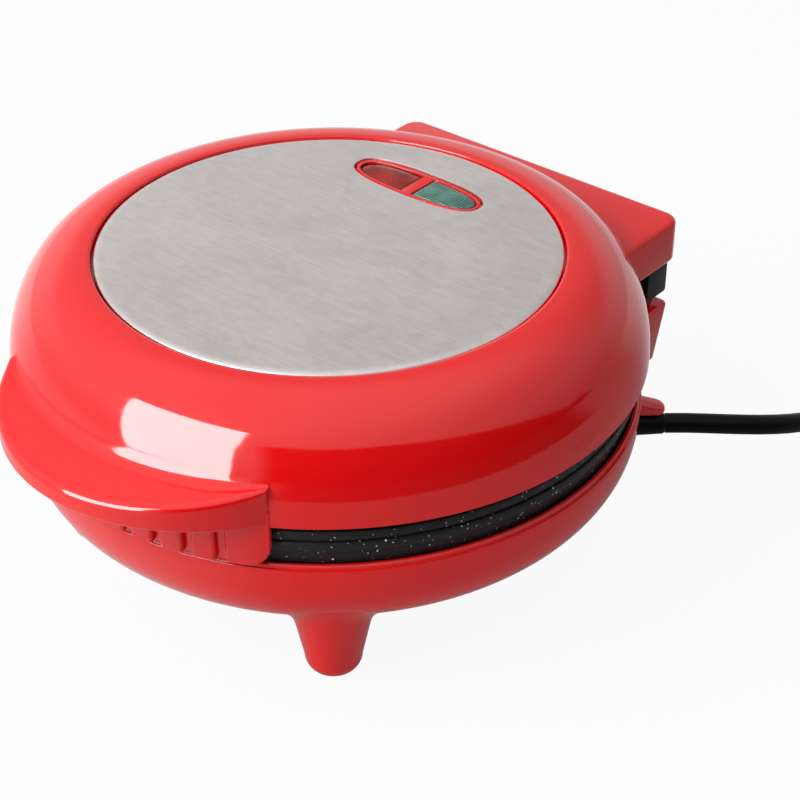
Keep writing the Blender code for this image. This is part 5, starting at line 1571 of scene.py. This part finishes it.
def tube(name, points, radius):
    """A round tube along these points, 20 faces round it, with closed ends."""
    curve = bpy.data.curves.new(name, "CURVE")
    curve.dimensions = "3D"
    curve.bevel_depth = radius
    curve.bevel_resolution = 8
    curve.use_fill_caps = True
    spline = curve.splines.new("POLY")
    spline.points.add(len(points) - 1)
    for point, place in zip(spline.points, points):
        point.co = (*place, 1)
    return curve


class COOKER_OT_cord(bpy.types.Operator):
    """Make the mains cord with its coil, the plug and the strain relief"""

    bl_idname = "cooker.cord"
    bl_label = "Mains cord"

    def execute(self, context):
        cord = context.scene.cooker_cord
        line = cord_line()
        curve = tube("mains_cord", line, cord.diameter / 2)
        curve.materials.append(finish("cord_rubber"))
        lead = object_of("mains_cord", curve)
        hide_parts("cord_free", "cord_coil")
        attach(lead, "base")
        form = self.plug(line)
        plug = piece("plug_moulding", form, "base", "cord_rubber", ["plug_body"], angle=40.0)
        # The coil lies outside the view and shows in the lid's gloss no more than in the picture.
        lead.visible_glossy = False
        plug.visible_glossy = False
        relief = self.relief(cord.relief_rings)
        piece("relief_sleeve", relief, "base", "cord_rubber", ["strain_relief"], angle=40.0)
        length = sum((b - a).length for a, b in zip(line, line[1:]))
        return {"FINISHED"}

    def relief(self, rings):
        """The tapered sleeve with grooves round its outer half."""
        length = RELIEF_OUT - RELIEF_IN
        flange_r, flange_t, sleeve_r = 0.0068, 0.0012, 0.0047
        tip_r, tip_t = 0.0039, 0.0012
        first = 0.56 * length
        profile = [(0, 0), (flange_r - 0.0002, 0), (flange_r, 0.0003), (flange_r, flange_t - 0.0001)]
        profile += [(sleeve_r, flange_t), (sleeve_r, first)]
        span = (length - first - tip_t) / max(1, rings)
        for k in range(rings):
            z = first + span * k
            outer = sleeve_r - 0.0007 * (z - first) / (length - first)
            for share, dip in ((0.15, 0.0), (0.25, 0.0003), (0.5, 0.00045), (0.75, 0.0003), (0.85, 0.0)):
                profile.append((outer - dip, z + span * share))
        profile += [(tip_r, length - 0.0008), (tip_r - 0.0003, length - 0.0002)]
        profile += [(tip_r - 0.0005, length), (0, length)]
        form = revolved("relief", profile, steps=40, at=Vector((0, 0, 0)))
        turn = EXIT_WAY.to_track_quat("Z", "Y").to_matrix().to_4x4()
        form.transform(Matrix.Translation(along_exit(RELIEF_IN)) @ turn)
        return form

    def plug(self, line):
        """The flat moulded plug with a grooved neck and holes for its pins."""
        way = (line[-1] - line[-2]).normalized()
        low, high = (Vector(c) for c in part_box("plug_body"))
        radius, half_w, length = (high.z - low.z) / 2, 0.0180, 0.0450
        neck_r, groove_r, groove_pitch = 0.0056, 0.0050, 0.0019
        neck_z, shoulder_z = 0.0090, 0.0230
        profile = [(0, 0), (groove_r, 0), (neck_r, 0.0005)]
        for k in range(4):
            z = 0.0010 + k * groove_pitch
            profile += [(neck_r, z + 0.0002), (groove_r, z + 0.0006)]
            profile += [(groove_r, z + 0.0010), (neck_r, z + 0.0014)]
        for t in np.linspace(0, 1, 12)[1:]:
            profile.append((neck_r + (radius - neck_r) * eased(t), neck_z + (shoulder_z - neck_z) * t))
        profile += [(radius, length - 0.0030), (radius - 0.0009, length - 0.0009)]
        profile += [(radius - 0.003, length), (0, length)]
        form = revolved("plug", profile, steps=64, at=Vector((0, 0, 0)))
        for vertex in form.vertices:
            share = eased(held((vertex.co.z - 0.0085) / 0.0135))
            vertex.co.x *= 1 + (half_w / radius - 1) * share
        side = Vector((-way.y, way.x, 0))
        turn = Matrix((side, Vector((0, 0, 1)), way)).transposed().to_4x4()
        start = line[-1] + way * 0.0003
        form.transform(Matrix.Translation(start) @ turn)
        face = start + way * length
        pin_r, pin_from_middle = 0.0026, 0.0095
        cuts = []
        for sign in (-1, 1):
            spot = face + side * sign * pin_from_middle
            cuts.append(cylinder("pin_hole", pin_r, spot - way * 0.005, spot + way * 0.004, steps=24))
        return carved(form, cuts=cuts)


# ---- the nodes that stay as they are ------------------------------------------------------------


class COOKER_OT_inner(bpy.types.Operator):
    """Give the feet, screws, heaters, reflectors, lamps and inner pieces their finishes"""

    bl_idname = "cooker.inner"
    bl_label = "Inner pieces"

    def execute(self, context):
        looks = {
            "foot_rubber": [f"foot_pad_{i}" for i in range(1, 5)],
            "plain_steel": [f"{side}_screw_{i}" for side in ("base", "lid") for i in range(1, 5)]
            + ["clamp_screw_1", "clamp_screw_2", "hinge_pin_left", "hinge_pin_right"],
            "heater_steel": ["lower_element", "upper_element"],
            "bright_sheet": ["lower_reflector", "upper_reflector"],
            "fired_ceramic": ["thermostat", "thermal_fuse", "terminal_block"],
            "black_moulding": ["cord_clamp", "lamp_holder"],
            "lamp_glass": ["lamp_red", "lamp_green"],
            "brass_pin": ["plug_pin_1", "plug_pin_2"],
        }
        for look, nodes in looks.items():
            for node in nodes:
                for place in frame["nodes"][node].material_slots:
                    place.material = finish(look)
        return {"FINISHED"}


# ---- the stage ----------------------------------------------------------------------------------


# Ways across the studio, level: to the picture's left, and out of the picture towards the viewer.
LEFT_WAY = (-0.7694, -0.6388, 0.0)
FRONT_WAY = (0.6388, -0.7694, 0.0)


class COOKER_OT_stage(bpy.types.Operator):
    """Set the floor, the light and the camera"""

    bl_idname = "cooker.stage"
    bl_label = "Stage"

    def execute(self, context):
        self.floor()
        self.world()
        self.lamps()
        self.camera()
        context.scene.view_settings.view_transform = "Standard"
        return {"FINISHED"}

    def floor(self):
        """A white floor for the eye; in the gloss it is pale on the left and dark far in front."""
        bm = bmesh.new()
        bmesh.ops.create_grid(bm, x_segments=1, y_segments=1, size=6)
        floor = object_of("studio_floor", mesh_of("studio_floor", bm))
        paint = Paint("studio_floor")
        paint.set("Base Color", (0.66, 0.66, 0.66))
        paint.set("Roughness", 0.9)
        spot = paint.place()
        # How far a spot is from the object, and how much of that is to the left and to the front.
        far = paint.node("ShaderNodeVectorMath", {"operation": "LENGTH"}, {0: spot}, 1)
        left = paint.along(spot, LEFT_WAY) / far.floor_at(0.001)
        front = paint.along(spot, FRONT_WAY) / far.floor_at(0.001)
        dark = far.ramp(0.385, 0.405) * (1 - left.ramp(0.15, 0.38)) * front.ramp(-0.05, 0.15)
        pale = (0.24 + left.ramp(0.0, 0.9) * 0.42 + (0 - front).ramp(0.3, 0.8) * 0.60) * (1 - dark * 0.95)
        seen = paint.ray("Camera")
        mirrored = (paint.ray("Glossy") + paint.ray("Transmission")).cap_at(1.0)
        strength = seen + (1 - seen) * pale
        glow = paint.node("ShaderNodeEmission", values={"Color": (1, 1, 1, 1), "Strength": strength})
        share = (seen * 0.94 + mirrored * 0.96).cap_at(1.0)
        both = paint.node(
            "ShaderNodeMixShader", values={0: share, 1: Wire(paint, paint.shader.outputs[0]), 2: glow}
        )
        paint.tree.links.new(both.socket, paint.tree.nodes["Material Output"].inputs["Surface"])
        floor.data.materials.append(paint.material)

    def world(self):
        """White where the camera looks; for the object a soft room, brighter above, behind and left."""
        world = bpy.data.worlds.new("studio")
        bpy.context.scene.world = world
        world.use_nodes = True
        room = Nodes(world.node_tree)
        way = room.node("ShaderNodeTexCoord", output=0)
        left = room.along(way, LEFT_WAY)
        front = room.along(way, FRONT_WAY)
        up = room.along(way, (0, 0, 1))
        # Brighter above and on the left, with a low glow behind and a dimmer stretch over it.
        level = 0.40 + up.ramp(0.0, 0.45) * 0.20 + up.ramp(0.6, 1.0) * 0.17
        level = level * (1 + left * (1 - up.ramp(0.8, 1.0)) * 0.38)
        level = level + (0 - front).ramp(0.3, 0.9) * (1 - up.ramp(0.10, 0.50)) * 0.30
        level = level - (0 - front).ramp(0.3, 0.8) * up.ramp(0.30, 0.45) * (1 - up.ramp(0.65, 0.90)) * 0.18
        # The dark wall in front, whose upper edge rises towards the viewer.
        skirt = (front + 0.20).ramp(0.0, 0.15) * 0.10 - 0.02
        brow = ((front + 0.05) * 0.74).cap_at(0.61).floor_at(skirt)
        dark = (brow - up).ramp(0.0, 0.05) * (1 - left.ramp(0.28, 0.42))
        level = level * (1 - dark * 0.93)
        seen = room.ray("Camera")
        strength = seen + (1 - seen) * level * bpy.context.scene.cooker_stage.world
        back = world.node_tree.nodes["Background"]
        back.inputs["Color"].default_value = (1, 1, 1, 1)
        room.link(strength, back.inputs["Strength"])

    def lamps(self):
        """A tall softbox that shows in the gloss, and a soft key over it that gives the light and shade."""
        place = (-0.250, -1.186, 0.570)
        softbox = self.lamp("tall_softbox", place, size=(0.93, 1.06), power=26.0, roll=10.0)
        softbox.visible_diffuse = False
        place = (-0.50, -0.91, 0.93)
        key = self.lamp("soft_key", place, size=(1.00, 0.80), power=18.5, roll=0.0)
        key.visible_glossy = False

    def lamp(self, name, place, size, power, roll):
        """An area lamp aimed at the object, rolled about its own axis by some degrees."""
        light = bpy.data.lights.new(name, "AREA")
        light.shape = "RECTANGLE"
        light.size, light.size_y = size
        light.energy = power
        lamp = object_of(name, light)
        aim_z = 0.07
        aim = (Vector((0, 0, aim_z)) - Vector(place)).to_track_quat("-Z", "Y").to_matrix()
        turn = aim @ Matrix.Rotation(math.radians(roll), 3, "Z")
        lamp.matrix_world = Matrix.Translation(place) @ turn.to_4x4()
        return lamp

    def camera(self):
        """The photo's camera: level from side to side, looking down."""
        stage = bpy.context.scene.cooker_stage
        a, e = stage.azimuth, stage.elevation
        right = Vector((math.cos(a), math.sin(a), 0))
        back = Vector((math.sin(a) * math.cos(e), -math.cos(a) * math.cos(e), math.sin(e)))
        up = back.cross(right)
        data = bpy.data.cameras.new("camera")
        data.lens = stage.lens
        data.sensor_width = 36.0
        camera = object_of("camera", data)
        turn = Matrix((right, up, back)).transposed().to_4x4()
        camera.matrix_world = Matrix.Translation(stage.camera) @ turn
        bpy.context.scene.camera = camera


# ---- panel and registration ---------------------------------------------------------------------


OPERATORS = [
    COOKER_OT_stage,
    COOKER_OT_cord,
    COOKER_OT_lid,
    COOKER_OT_disc,
    COOKER_OT_window,
    COOKER_OT_base,
    COOKER_OT_hinge,
    COOKER_OT_plates,
    COOKER_OT_inner,
]


class COOKER_PT_panel(bpy.types.Panel):
    """Lists the steps that build the omelette maker"""

    bl_label = "Omelette Maker"
    bl_idname = "COOKER_PT_panel"
    bl_space_type = "VIEW_3D"
    bl_region_type = "UI"
    bl_category = "Cooker"

    def draw(self, context):
        for operator in OPERATORS:
            self.layout.operator(operator.bl_idname)


def register():
    for group in SETTINGS.values():
        bpy.utils.register_class(group)
    for name, group in SETTINGS.items():
        setattr(bpy.types.Scene, name, bpy.props.PointerProperty(type=group))
    for operator in OPERATORS:
        bpy.utils.register_class(operator)
    bpy.utils.register_class(COOKER_PT_panel)


def unregister():
    bpy.utils.unregister_class(COOKER_PT_panel)
    for operator in reversed(OPERATORS):
        bpy.utils.unregister_class(operator)
    for name in SETTINGS:
        delattr(bpy.types.Scene, name)
    for group in reversed(SETTINGS.values()):
        bpy.utils.unregister_class(group)


def main():
    register()
    for step in ("stage", "cord", "lid", "disc", "window", "base", "hinge", "plates", "inner"):
        getattr(bpy.ops.cooker, step)()


if __name__ == "__main__":
    main()
